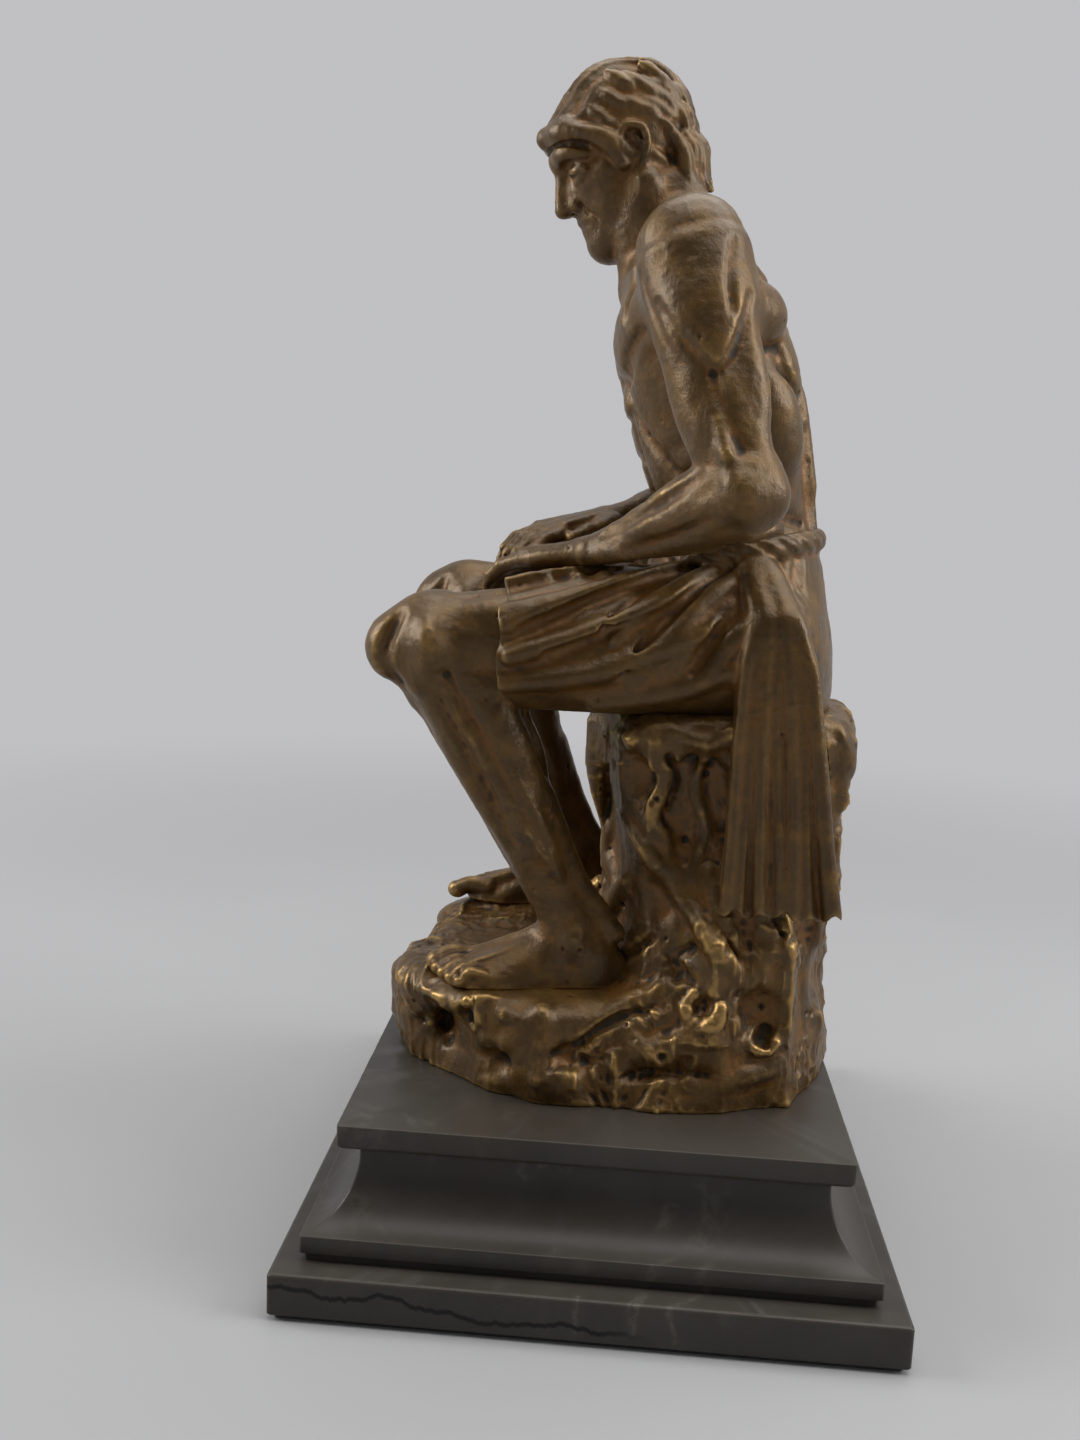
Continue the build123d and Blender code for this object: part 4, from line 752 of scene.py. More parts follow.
def add_hair(f):
    """Short hair lying close like a cap, with a rolled edge at the brow and locks at the nape."""
    rng = np.random.default_rng(11)
    h = on_head
    crown = h(4.6, -2.8)
    f.add(lump(crown, (16.4, 13.4, 16.2)), 0.8)
    # the face comes out of the cap in front of a line from the brow to the ear
    for s in (LEFT, RIGHT):
        p = lambda height, forward, out: on_head(height, forward, out, s)
        edge = [p(10.6, 14.2, 0.0), p(10.0, 13.4, 3.6), p(9.2, 12.0, 7.0), p(6.4, 8.6, 10.6),
                p(2.6, 4.6, 12.4), p(-3.6, 3.0, 12.2)]
        f.add(strand(edge, [2.2, 2.0, 2.5, 2.0, 2.3, 1.3]), 1.2)
        under = [at - head_z * 2.7 + (at - crown) * 0.02 for at in edge[:4]]
        f.cut(strand(under, [0.9, 1.0, 1.1, 0.8]), 0.9)
    # grooves combed back over the crown
    for i in range(11):
        side = (i - 5) * 2.3 + 0.7 * math.sin(5.0 * i)
        lines = []
        for rise in (0.34, 0.52, 0.74, 0.98, 1.22):
            a = math.pi * rise - math.pi * 0.16
            way = head_x * math.cos(a) * 14 + head_z * math.sin(a) * 14
            way = way - head_y * (side + 0.8 * math.sin(4 * rise + i))
            lines.append((crown, crown + way))
        press(f, lines, [0.4, 0.8, 0.9, 0.8, 0.5], 1.5)
    for i in range(64):
        # a lock starts high on the head and runs down and forward or back
        a = rng.uniform(-1, 1)
        turn = math.pi * rng.uniform(-1, 1)
        height = rng.uniform(-6, 16)
        ahead = math.cos(turn)
        if ahead > 0.55 and height < 9 or ahead > 0.1 and height < 1:
            continue
        low = 0.9 if height > 3 else 0.0
        pts = []
        for j in range(4):
            hh = height - j * rng.uniform(1.6, 2.8)
            rr = math.sqrt(max(1 - ((hh - 4.6) / 17.2) ** 2, 0.02))
            tt = turn + (0.10 + 0.05 * a) * j * (1 if turn > 0 else -1)
            pts.append(h(hh, -2.8 + math.cos(tt) * ((16.6 - low) * rr))
                       - head_y * math.sin(tt) * (13.6 - low) * rr)
        f.add(strand(pts, [0.7, 1.3, 1.3, 0.5]), 0.9)
    for i in range(11):
        turn = math.pi + (i - 5) * 0.20
        x, y = -2.6 + math.cos(turn) * 15.4, math.sin(turn) * 12.4
        pts = [h(-3.5, x * 0.98) - head_y * y, h(-7.5, x * 0.98) - head_y * y,
               h(-11.5 - (i % 3), x * 0.88) - head_y * y * 0.92,
               h(-13.8 - (i % 3), x * 0.86 - 1.0) - head_y * y * 0.9]
        f.add(strand(pts, [1.4, 1.9, 1.6, 0.6]), 0.8)


def build_man(step, fine):
    box = (-61, -56, 58), (50, 56, 279)
    finer = (-36, 12, fine), (-19, 19, fine), (236, 278, fine)
    f = Field(*box, step, finer)
    add_trunk(f)
    for s in (LEFT, RIGHT):
        add_arm(f, s)
    for s in (LEFT, RIGHT):
        add_leg(f, s)
    add_head(f)
    add_hair(f)
    hands = []
    for s in (LEFT, RIGHT):
        hands.append(Field(*box, step, finer))
        add_hand(hands[-1], s)
    for hand in hands:
        f.d = np.minimum(f.d, hand.d) - fillet(f.d - hand.d, 1.2)
    for s in (LEFT, RIGHT):
        # nothing goes below the soles
        win = f.window((-58, -56 if s < 0 else 0, 58), (50, 0 if s < 0 else 56, 100))
        f.trim((sole[s] - 0.3) - f.grid(win)[2], win)
    return f


# ---------------------------------------------------------------- the rock
# Rings of the ground and of the column: the rise, then the reach in twenty-four directions
# from the back round by the right side, in hundredths of half the length and half the depth.
GROUND_RINGS = (
    (0.00, (93, 98, 100, 97, 98, 96, 96, 98, 95, 98, 100, 95,
            95, 100, 101, 96, 97, 98, 93, 98, 103, 100, 100, 95)),
    (0.30, (95, 102, 99, 93, 100, 94, 92, 100, 92, 96, 103, 94,
            98, 105, 102, 92, 99, 102, 90, 94, 104, 98, 103, 95)),
    (0.62, (93, 100, 93, 88, 97, 90, 86, 97, 88, 92, 100, 92,
            96, 105, 104, 94, 99, 99, 84, 90, 100, 90, 100, 90)),
    (0.85, (90, 95, 88, 85, 93, 87, 82, 93, 86, 90, 97, 93,
            95, 105, 106, 102, 100, 95, 82, 85, 95, 86, 96, 87)),
    (1.00, (84, 90, 84, 82, 88, 83, 79, 88, 83, 87, 92, 90,
            91, 101, 103, 99, 97, 88, 78, 80, 89, 82, 90, 83)),
)
COLUMN_RINGS = (
    (0.00, (97, 98, 92, 98, 94, 105, 98, 106, 100, 107, 102, 108,
            104, 110, 106, 110, 110, 104, 104, 102, 106, 95, 94, 95)),
    (0.22, (88, 93, 80, 94, 82, 98, 86, 99, 88, 97, 84, 88,
            78, 86, 84, 92, 100, 100, 104, 100, 106, 88, 94, 82)),
    (0.42, (90, 97, 78, 94, 78, 97, 80, 97, 82, 95, 78, 84,
            72, 80, 74, 82, 90, 88, 98, 96, 102, 82, 93, 80)),
    (0.62, (96, 103, 83, 97, 80, 99, 81, 98, 82, 97, 80, 90,
            78, 87, 78, 88, 96, 82, 78, 99, 79, 88, 100, 84)),
    (0.82, (102, 108, 88, 100, 85, 101, 85, 99, 86, 101, 87, 97,
            88, 98, 88, 100, 102, 84, 80, 100, 79, 93, 105, 90)),
    (0.94, (99, 104, 90, 98, 88, 98, 88, 97, 88, 99, 90, 97,
            90, 98, 90, 102, 103, 90, 88, 99, 84, 96, 105, 94)),
    (1.00, (90, 93, 88, 90, 86, 88, 86, 90, 86, 90, 88, 90,
            88, 90, 88, 93, 94, 88, 86, 90, 85, 90, 94, 90)),
)


def ringed(rings, length, depth, middle, top, soft):
    """A rock through rings of corners, rounded over at its top."""
    turns = 1440
    half = np.array([length / 2, depth / 2])
    count = len(rings[0][1])
    angles = np.linspace(0, 2 * np.pi, turns + 1)
    i = np.minimum((angles / (2 * np.pi) * count).astype(int), count - 1)
    step = 2 * np.pi / count
    table = []
    for _, reaches in rings:
        r = np.array(reaches + reaches[:1]) / 100
        a = angles - i * step
        chord = r[i] * np.sin(a) + r[i + 1] * np.sin(step - a)
        table.append(r[i] * r[i + 1] * np.sin(step) / chord)
    table = np.array(table)
    rises = np.array([r for r, _ in rings])

    def far(x, y, z):
        u, v = (x - middle) / half[0], y / half[1]
        rho = np.sqrt(u * u + v * v)
        turn = np.mod(np.arctan2(v, u), 2 * np.pi)
        ti = np.clip((turn / (2 * np.pi) * turns).astype(np.int32), 0, turns)[:, :, 0]
        rise = np.clip((z[0, 0] - GROUND) / (top - GROUND), 0, 1)
        out = np.empty(np.broadcast(x, y, z).shape, np.float32)
        for k, level in enumerate(rise):
            j = min(np.searchsorted(rises, level, "right") - 1, len(rises) - 2)
            f = (level - rises[j]) / (rises[j + 1] - rises[j])
            reach = (table[j] * (1 - f) + table[j + 1] * f)[ti]
            side = (rho[:, :, 0] - reach) * half.min()
            cap = z[0, 0, k] - top
            out[:, :, k] = np.maximum(side, cap) + fillet(side - cap, soft)
        return out

    lo = (middle - half[0] * 1.16, -half[1] * 1.16, GROUND - 1)
    hi = (middle + half[0] * 1.16, half[1] * 1.16, top)
    return np.array(lo), np.array(hi), far


def on_face(f, axis, side, across, z, sink=0.0):
    """The place where a line along x or y, from its low or high end, first meets the field."""
    i = min(np.searchsorted(f.lines[1 - axis], across), len(f.lines[1 - axis]) - 1)
    k = min(np.searchsorted(f.lines[2], z), len(f.lines[2]) - 1)
    row = (f.d[i, :, k] if axis else f.d[:, i, k]) < 0
    met = 0.0
    if row.any():
        j = np.argmax(row) if side < 0 else len(row) - 1 - np.argmax(row[::-1])
        met = f.lines[axis][j] - side * sink
    return np.array([across, met, z] if axis else [met, across, z])


def unbroken(points, radii, most=20.0):
    """The runs of a line between the places where it would jump off the rock."""
    start = 0
    for i in range(1, len(points) + 1):
        if i == len(points) or np.linalg.norm(points[i] - points[i - 1]) > most:
            if i - start > 1:
                yield points[start:i], list(radii[start:i])
            start = i


def build_rock(step):
    f = Field((-60, -56, GROUND - 1.2), (66, 56, 130), step)
    f.add(ringed(GROUND_RINGS, 105.0, 96.0, 0.0, 61.8, 4.0), 0.1)
    f.add(ringed(COLUMN_RINGS, 68.0, 82.0, 25.0, 128.0, 2.4), 6.0)
    f.add(ellipsoid((-22, 25, 59.0), (26.0, 15.5, 7.0)), 3.0)
    face = lambda axis, side: (
        lambda pts, sink=0.3: [on_face(f, axis, side, across, z, sink) for across, z in pts]
    )
    near, far, back, front = face(1, -1), face(1, 1), face(0, 1), face(0, -1)
    # broad hollows, scraped with a thumb
    for place, at, radii in (
        (near, (19, 107), (8.0, 2.6, 13.0)), (near, (41, 97), (4.0, 2.6, 18.0)),
        (near, (10, 86), (5.0, 2.4, 6.0)),
        (near, (5, 113), (5.0, 2.2, 5.0)), (near, (30, 82), (4.0, 2.2, 8.0)),
        (near, (-4, 50), (8.0, 2.4, 2.8)),
        (near, (16, 47), (9.5, 2.4, 2.6)), (near, (-26, 47), (7.0, 2.4, 3.0)),
        (near, (36, 62), (5.0, 2.2, 5.0)),
        (far, (14, 100), (6.0, 2.6, 15.0)), (far, (33, 104), (6.0, 2.6, 12.0)),
        (far, (40, 78), (6.0, 2.4, 8.0)),
        (far, (2, 76), (5.0, 2.4, 6.0)), (far, (-14, 52), (9.0, 2.4, 4.0)),
        (far, (20, 52), (10.0, 2.4, 4.0)),
    ):
        f.cut(ellipsoid(place([at], 0.0)[0], radii), 3.6)
    for place, y, z, ry, rz in (
        (back, -16, 104, 6.0, 14.0), (back, 3, 96, 6.0, 18.0), (back, 21, 106, 5.5, 12.0),
        (back, 14, 64, 7.0, 8.0), (back, -18, 64, 7.0, 7.0),
        (front, -14, 100, 6.0, 13.0), (front, 6, 92, 7.0, 15.0), (front, 20, 104, 5.0, 10.0),
        (front, -30, 50, 6.0, 3.6),
        (front, 0, 51, 9.0, 3.6), (front, 27, 49, 7.0, 3.6),
    ):
        f.cut(ellipsoid(place([(y, z)], 0.0)[0], (2.6, ry, rz)), 3.6)
    # the cave under the seat's edge at the back of the near side
    cave = near([(36.6, 122.4)], 0.8) + near([(38.6, 118.6)], 1.4) + near([(39.6, 113.0)], 0.6)
    f.cut(strand(cave, [2.9, 3.3, 1.6]), 0.9)
    f.cut(strand(near([(46.0, 120.6), (47.6, 115.0)], 0.8), [1.9, 1.3]), 0.7)
    # knife-like edges of clay, and rolls that run down over the ground
    ridges = (
        (near([(27.6, 125), (28.4, 119), (29.4, 111), (31.6, 103), (33.4, 94), (35.0, 86),
               (37.6, 77)]), (0.6, 0.7, 0.6, 0.7, 0.7, 1.2, 0.9)),
        (near([(42.4, 117), (43.4, 108), (45.4, 99), (46.0, 88), (44.6, 76)]),
         (0.5, 0.6, 0.7, 0.8, 0.7)),
        (near([(50.6, 125), (53.4, 118), (53.0, 108), (51.4, 98), (51.0, 88), (49.8, 74)]),
         (1.3, 1.7, 1.2, 1.6, 1.2, 1.0)),
        (near([(2.0, 104), (8.4, 96), (14.4, 89), (18.4, 84.6), (24.6, 77), (30.4, 70)]),
         (0.9, 1.5, 1.9, 1.5, 1.7, 1.0)),
        (near([(22.4, 93), (26.4, 83), (31.4, 74)]), (0.6, 1.0, 0.7)),
        (near([(4.6, 87), (1.2, 77), (-5.6, 67), (-13.6, 58.6), (-21.0, 52.6)], 1.4),
         (2.0, 2.7, 3.2, 2.8, 1.6)),
        (near([(17.0, 66), (8.0, 62), (0.0, 56.0), (-8.0, 49.6), (-14.0, 45.4)], 1.2),
         (1.9, 2.5, 2.6, 2.3, 1.3)),
        (near([(30.0, 59), (20.0, 55), (8.0, 50.4), (-2.0, 45.8)], 1.2), (1.6, 2.4, 2.2, 1.3)),
        (near([(42, 50), (30.0, 46.4), (12.0, 43.6), (-10, 43.4), (-26, 44.6)], 1.2),
         (1.5, 2.0, 1.8, 1.8, 1.2)),
        (near([(29.6, 126.6), (33.0, 127.6), (37.0, 126.8), (42.0, 127.2), (50.0, 125.4)]),
         (1.2, 1.6, 1.3, 1.6, 1.3)),
        (near([(-2.6, 121), (-1.0, 112), (1.0, 102), (-0.6, 92), (2.2, 82), (0.4, 72)]),
         (0.8, 1.3, 1.1, 1.4, 1.2, 0.8)),
        (near([(9.0, 123), (11.4, 114), (9.0, 105), (13.0, 98), (10.6, 90)]),
         (0.9, 1.4, 1.1, 1.3, 0.8)),
        (near([(20.4, 122), (18.6, 112), (21.4, 102), (19.0, 93)]), (0.8, 1.3, 1.1, 0.7)),
        (near([(-3, 125.4), (4.0, 122.4), (12, 124.8), (19, 122.8), (28.0, 125)]),
         (1.2, 1.5, 1.4, 1.5, 1.2)),
        (near([(-36, 57), (-28, 60.0), (-20, 58.0)], 0.8), (1.1, 1.4, 1.1)),
        (far([(30, 124), (26, 108), (24, 92), (30, 76)]), (1.1, 1.5, 1.3, 1.0)),
        (far([(8, 122), (4, 106), (6, 92), (-2, 78), (-14, 66)]), (1.1, 1.5, 1.6, 2.0, 1.4)),
        (far([(48, 122), (46, 104), (48, 86), (44, 68)]), (1.2, 1.5, 1.5, 1.0)),
        (far([(34, 60), (16, 60), (0, 54), (-16, 50)], 1.2), (1.6, 2.4, 2.4, 1.4)),
        (far([(28, 47), (6, 44.6), (-20, 44.0), (-34, 47)], 1.2), (1.6, 2.0, 2.0, 1.4)),
        (back([(-24, 124), (-22, 108), (-26, 90), (-22, 70)]), (1.2, 1.5, 1.5, 1.0)),
        (back([(-6, 126), (-8, 108), (-5, 88), (-9, 66)]), (1.2, 1.6, 1.5, 1.2)),
        (back([(13, 126), (14, 106), (10, 88), (16, 68)]), (1.2, 1.6, 1.5, 1.2)),
        (back([(30, 122), (27, 104), (30, 84), (26, 64)]), (1.2, 1.5, 1.5, 1.0)),
        (back([(-30, 56), (-8, 52), (12, 56), (30, 50)]), (1.6, 2.2, 2.2, 1.4)),
        (front([(-22, 120), (-20, 102), (-24, 84)]), (1.0, 1.5, 1.2)),
        (front([(-4, 122), (-5, 104), (-2, 84), (-6, 66)]), (1.0, 1.5, 1.5, 1.2)),
        (front([(13, 122), (14, 104), (11, 84)]), (1.0, 1.5, 1.2)),
        (front([(-34, 54), (-14, 57), (4, 54), (26, 56)], 1.2), (1.4, 2.0, 2.2, 1.4)),
        (front([(-28, 45), (-6, 46.4), (18, 44.6)], 1.2), (1.2, 1.8, 1.2)),
    )
    for points, radii in ridges:
        for run, sizes in unbroken(points, radii):
            f.add(strand(run, sizes), 1.8)
    # the wall stays behind the hanging end of the cloth
    x, y, z = f.grid()
    beside = np.maximum(np.abs(x - (38.4 - (z - 83.6) * 0.065)) - 7.6, 0) + np.maximum(87.0 - z, 0)
    f.trim(-38.3 - 1.5 * beside ** 2 - y)
    for points, radii in (
        (near([(12.0, 61.6), (4.0, 58.6), (-5.0, 52.4), (-11, 47.6)], 0.0), (0.5, 1.3, 1.3, 0.5)),
        (near([(-2.0, 84), (-3.6, 76), (-9.0, 67.6), (-16, 60.2)], 0.2), (0.8, 1.4, 1.5, 0.8)),
        (near([(11.0, 76), (6.0, 70), (-2.0, 62.6)], 0.0), (0.8, 1.6, 0.8)),
        (near([(33.6, 104), (36.0, 92), (39.6, 80)], 0.2), (0.7, 1.3, 0.8)),
        (near([(48.0, 106), (47.6, 94), (47.4, 82)], 0.2), (0.6, 1.1, 0.6)),
        (near([(20, 76), (16, 72), (20, 68)], 0.0), (1.0, 1.4, 1.0)),
        (near([(12, 119), (13.6, 113), (12.4, 107)], 0.0), (0.7, 1.2, 0.5)),
    ):
        for run, sizes in unbroken(points, radii):
            f.cut(strand(run, sizes), 1.2)
    # uneven craters and pits, most of them near the foot of the rock
    rng = np.random.default_rng(17)
    for place, x, z, r in (
        (near, -30.6, 56.4, 3.0), (near, 22.6, 63.0, 3.4), (near, 16.8, 68.0, 1.6),
        (near, 10.8, 60.0, 1.0), (near, 36.8, 55.4, 3.0),
        (near, -43, 50, 1.8), (near, 30.0, 66.0, 1.4), (near, 44, 60, 1.8), (near, 9.5, 113.6, 1.3),
        (near, 7.0, 106.4, 1.2),
        (near, 40.0, 107.5, 1.1), (near, 44.6, 112.0, 1.1), (near, 17, 99, 0.8),
        (near, -36, 46, 1.5), (far, 6, 58, 2.8),
        (far, -24, 50, 2.4), (far, 36, 66, 2.2), (far, 20, 118, 1.8), (far, -2, 94, 1.6),
        (back, -16, 60, 2.6), (back, 20, 76, 2.0),
        (back, 2, 116, 1.6),
    ):
        c = place([(x, z)], 0.0)[0]
        n = field_normal(f, c)
        u, v, _ = axes(n, (0.3, 0.2, 1))
        if r > 2.0:
            rim = [c + (u * math.cos(a) + v * math.sin(a)) * r * rng.uniform(0.9, 1.35)
                   for a in np.linspace(0, 5.2, 8)]
            f.add(strand(rim, rng.uniform(0.3, 0.3 + 0.25 * r, 8)), 1.4)
        f.cut(ellipsoid(c + n * 0.35 * r,
                        (r * rng.uniform(0.8, 1.2), r * rng.uniform(0.7, 1.0), r * 0.95), n,
                        (0.3, 0.2, 1)), 1.0)
        f.cut(ellipsoid(c + u * r * 0.7 + n * 0.3 * r, (r * 0.6, r * 0.5, r * 0.6), n, v), 0.8)
    # nothing below the marble
    win = f.window((-60, -56, GROUND - 2), (66, 56, GROUND + 3))
    f.trim(GROUND - f.grid(win)[2], win)
    return f


def field_normal(f, p):
    """The direction out of the field's surface at a place."""
    out = []
    i = [int(np.clip(np.searchsorted(l, v), 2, len(l) - 3)) for l, v in zip(f.lines, p)]
    for a in range(3):
        lo, hi = list(i), list(i)
        lo[a] -= 2
        hi[a] += 2
        out.append(f.d[tuple(hi)] - f.d[tuple(lo)])
    return unit(out)


# ---------------------------------------------------------------- the cloth
PELVIS = shares(
    (6, -20, 90, 66), (5, 35, 96, 67), (2, 80, 89, 62),
    (-3, 124, 81, 57), (-4, 130, 80, 56),
)
LAP = shares((20, 70, 50, 30), (-70, 66, 70, 34), (-140, 62, 80, 32), (-200, 58, 88, 30))
TURN = math.pi / 2


def on_thigh(along, turn, s, lift=0.0):
    """A place on the cloth over a thigh: along it, and in quarter turns from its inside."""
    reach = np.interp(along, [0, 0.55, 0.85], [0.058, 0.048, 0.040]) * FIGURE + 2.0 + lift
    centre = hip[s] + (knee[s] - hip[s]) * along
    return centre + np.array([0, -math.cos(turn * TURN) * s, math.sin(turn * TURN)]) * reach


def build_drape(step):
    f = Field((-33, -50, 81), (58, 46, 176), step)
    f.add(chain(*upright(PELVIS, 1.6), power=2.2), 0.1)
    for s in (LEFT, RIGHT):
        f.add(chain(hip[s], knee[s], (0, 1, 0), scaled(THIGH, 1.7)), 3.0)
    start, end = spot((0.020, 0, 0.070)), spot((-0.200, 0, 0.058))
    rows = [((0.020 - b) / 0.220, 0, w * FIGURE - 1.0, h * FIGURE - 1.4) for b, _, w, h in LAP]
    f.add(chain(start, end, (0, 1, 0), rows), 4.0)
    # hollow between the thighs, where the cloth sags
    f.cut(strand([spot((-0.02, 0, 0.118)), spot((-0.09, 0, 0.108)), spot((-0.16, 0, 0.103)),
                  spot((-0.21, 0, 0.098))],
                 [3.0, 6.0, 7.6, 8.6]), 6.0)
    for s in (LEFT, RIGHT):
        # long folds from the hip along the thigh and down its side
        runs = (
            ((0.02, 0.90), (0.20, 1.10), (0.40, 1.35), (0.62, 1.60), (0.76, 1.74)),
            ((0.06, 1.35), (0.24, 1.55), (0.46, 1.80), (0.74, 2.05)),
            ((0.12, 0.60), (0.32, 0.78), (0.54, 1.00), (0.84, 1.22)),
            ((0.10, 1.80), (0.30, 2.00), (0.50, 2.20), (0.76, 2.35)),
            ((0.30, 0.30), (0.50, 0.52), (0.70, 0.66), (0.86, 0.74)),
            ((0.34, 1.36), (0.56, 1.52), (0.80, 1.62)),
            ((0.02, 2.10), (0.22, 2.32), (0.46, 2.52)),
        )
        for i, run in enumerate(runs):
            n = len(run)
            r = [1.1 + 1.6 * math.sin(math.pi * (0.16 + 0.62 * j / (n - 1))) for j in range(n)]
            f.add(strand([on_thigh(a, t, s, -0.5) for a, t in run], r), 1.9)
        for run in (((0.08, 1.02), (0.26, 1.26), (0.46, 1.52), (0.70, 1.80)),
                    ((0.12, 1.54), (0.34, 1.78), (0.62, 2.04)),
                    ((0.18, 0.74), (0.38, 0.92), (0.62, 1.12), (0.84, 1.36)),
                    ((0.38, 0.50), (0.58, 0.68), (0.84, 0.92))):
            f.cut(strand([on_thigh(a, t, s, 0.7) for a, t in run],
                         [0.6] + [1.7] * (len(run) - 2) + [1.2]), 1.8)
        for run in (((-0.02, 1.30), (0.10, 1.50), (0.24, 1.86), (0.36, 2.30)),
                    ((-0.02, 1.02), (0.12, 1.22), (0.28, 1.52), (0.42, 1.90)),
                    ((-0.04, 1.60), (0.04, 1.86), (0.14, 2.22))):
            f.add(strand([on_thigh(a, t, s, -0.4) for a, t in run],
                         [1.0, 1.9, 1.8, 0.9][:len(run)]), 1.7)
            f.cut(strand([on_thigh(a + 0.035, t - 0.10, s, 0.7) for a, t in run],
                         [0.5, 1.2, 1.3, 0.6][:len(run)]), 1.6)
    # swags that sag between the thighs
    for back, up, sag, wide in ((-0.060, 0.104, 0.008, 0.060), (-0.085, 0.103, 0.014, 0.085),
                                (-0.107, 0.101, 0.018, 0.085),
                                (-0.128, 0.099, 0.021, 0.088), (-0.149, 0.096, 0.023, 0.086),
                                (-0.168, 0.094, 0.025, 0.084)):
        pts = [spot((back - 0.010 * (1 - t * t), t * wide,
                     up - sag * (1 - t * t) + 0.012 * (1 - t * t))) for t in np.linspace(-1, 1, 7)]
        f.add(strand(pts, [0.7, 1.3, 1.8, 2.0, 1.8, 1.3, 0.7]), 2.4)
    # the roll at the waist, twisted like a rope of cloth
    c = spot((-0.003, 0, 0.124))
    tilt = unit(spot((-0.012, 0, 0.165)) - spot((0.002, 0, 0.080)))
    u, v, w = axes(tilt, (0, 1, 0))
    wide, deep = 0.081, 0.057
    for phase in (0.0, 2.1, 4.2):
        pts = []
        for a in np.linspace(0, 2 * np.pi, 73):
            turn = a * 9 + phase
            base = (c + u * math.sin(a) * (wide * FIGURE + 1.4)
                    + v * math.cos(a) * (deep * FIGURE + 1.4))
            outw = unit(u * math.sin(a) / wide + v * math.cos(a) / deep)
            pts.append(base + outw * math.cos(turn) + w * 1.3 * math.sin(turn))
        f.add(strand(pts, [1.55] * len(pts)), 0.8)
    # folds gathered under the roll over the hips and the back
    rng = np.random.default_rng(5)
    for a in np.linspace(0.12, 2 * np.pi - 0.12, 26):
        if math.cos(a) < -0.80:
            continue
        pts = []
        lean = rng.uniform(-0.12, 0.12) - 0.16 * math.sin(a)
        depth = rng.uniform(12, 26)
        for t in (0.0, 0.35, 0.7, 1.0):
            b = a + lean * t
            z = c - w * (1.5 + depth * t)
            grow = np.interp(depth * t, [0, 13, 26], [0.0, 2.6, 4.6])
            pts.append(z + u * math.sin(b) * (wide * FIGURE + 0.9 + grow)
                       + v * math.cos(b) * (deep * FIGURE + 0.9 + grow * 0.7))
        f.add(strand(pts, [1.3, 1.4, 1.1, 0.4]), 1.6)
    # everything above the roll, below the seat and in front of the hem comes off
    x, y, z = f.grid()
    f.trim((x - c[0]) * tilt[0] + (z - c[2]) * tilt[2] - 2.6)
    wave = 0.9 * np.sin(y * 0.55 + 0.7) + 0.7 * np.sin(z * 0.5 + y * 0.21)
    f.trim(HEM - 0.1 + 0.6 * (wave + 1.6) - x)
    f.trim(SEAT - 0.6 - z)
    # the hanging end, gathered over the hip and pleated down the side of the rock
    top, low = np.array([34.0, -36.2, 151.0]), np.array([38.4, -36.0, 83.6])
    f.add(chain(top + [0, 0, -2], low, (1, 0, 0),
                [(0.0, 0, 6.4, 2.2), (0.12, 0.2, 8.6, 2.5), (0.3, 0.4, 10.0, 2.3),
                 (0.6, 0.0, 11.4, 2.1), (0.85, 0, 12.8, 2.0), (0.985, 0, 13.2, 1.9)]), 3.0)
    for i in range(7):
        share = (i - 3) / 3
        pts, radii = [], []
        for t in np.linspace(0, 1, 7):
            half = np.interp(t, [0, 0.15, 0.5, 1], [3.6, 7.0, 9.4, 11.6])
            sway = 0.9 * math.sin(3.0 * t + i * 1.7) * t
            p = top * (1 - t) + low * t
            yy = np.interp(t, [0, 0.1, 0.3, 0.6, 1.0],
                           [-0.6, -1.8, -2.3, -2.5, -2.1]) + (0.2 if i % 2 else -0.3)
            pts.append(p + np.array([share * half + sway, yy, 0]))
            radii.append(np.interp(t, [0, 0.2, 0.6, 1], [1.3, 1.6, 1.9, 2.1]))
        f.add(strand(pts, radii), 1.2)
        if i < 6:
            gap = [g + np.array([np.interp(t, [0, 1], [1.2, 1.95]), -1.9, 0]) for g,
                   t in zip(pts, np.linspace(0, 1, 7))]
            f.cut(strand(gap, [0.3, 0.5, 0.7, 0.9, 1.0, 1.1, 1.1]), 1.3)
    # where it is drawn out from under the rolled waist
    for i, lean in enumerate((-1.0, -0.5, 0.0, 0.5, 1.0)):
        f.add(strand([np.array([28.6 + 2.2 * lean, -25.0 - 0.6 * (i % 2), 164.0]),
                      np.array([31.4 + 3.4 * lean, -31.4 - 0.8 * (i % 2), 157.6]),
                      np.array([33.6 + 4.4 * lean, -36.4 - 0.8 * (i % 2), 150.0]),
                      np.array([34.2 + 6.2 * lean, -37.6, 141.0])],
                     [1.1, 1.7, 1.9, 1.2]), 1.5)
    f.add(muscle(np.array([28.8, -25.2, 163.4]), np.array([34.0, -35.4, 146.0]), 5.6, 3.0,
                 (1, 0, 0)), 2.0)
    wave = 0.9 * np.sin(x * 1.15) + 0.5 * np.sin(x * 0.5 + 1.0)
    hem = 84.6 + wave - z
    f.trim(np.where(z < 100, hem, -5))
    return f


# ---------------------------------------------------------------- surface work
def clay(verts, n, seed, big, small):
    """Unevenness left by fingers and tools, moved along the normals."""
    push = big * noise(verts / 7.3, seed) + 0.6 * big * noise(verts / 3.7 + 9.1, seed + 1)
    push += (small * (1 - 2 * np.abs(noise(verts / 2.1 + 4.2, seed + 2))) * 0.7
             + small * 0.5 * noise(verts / 1.05, seed + 3))
    return verts + n * push[:, None]


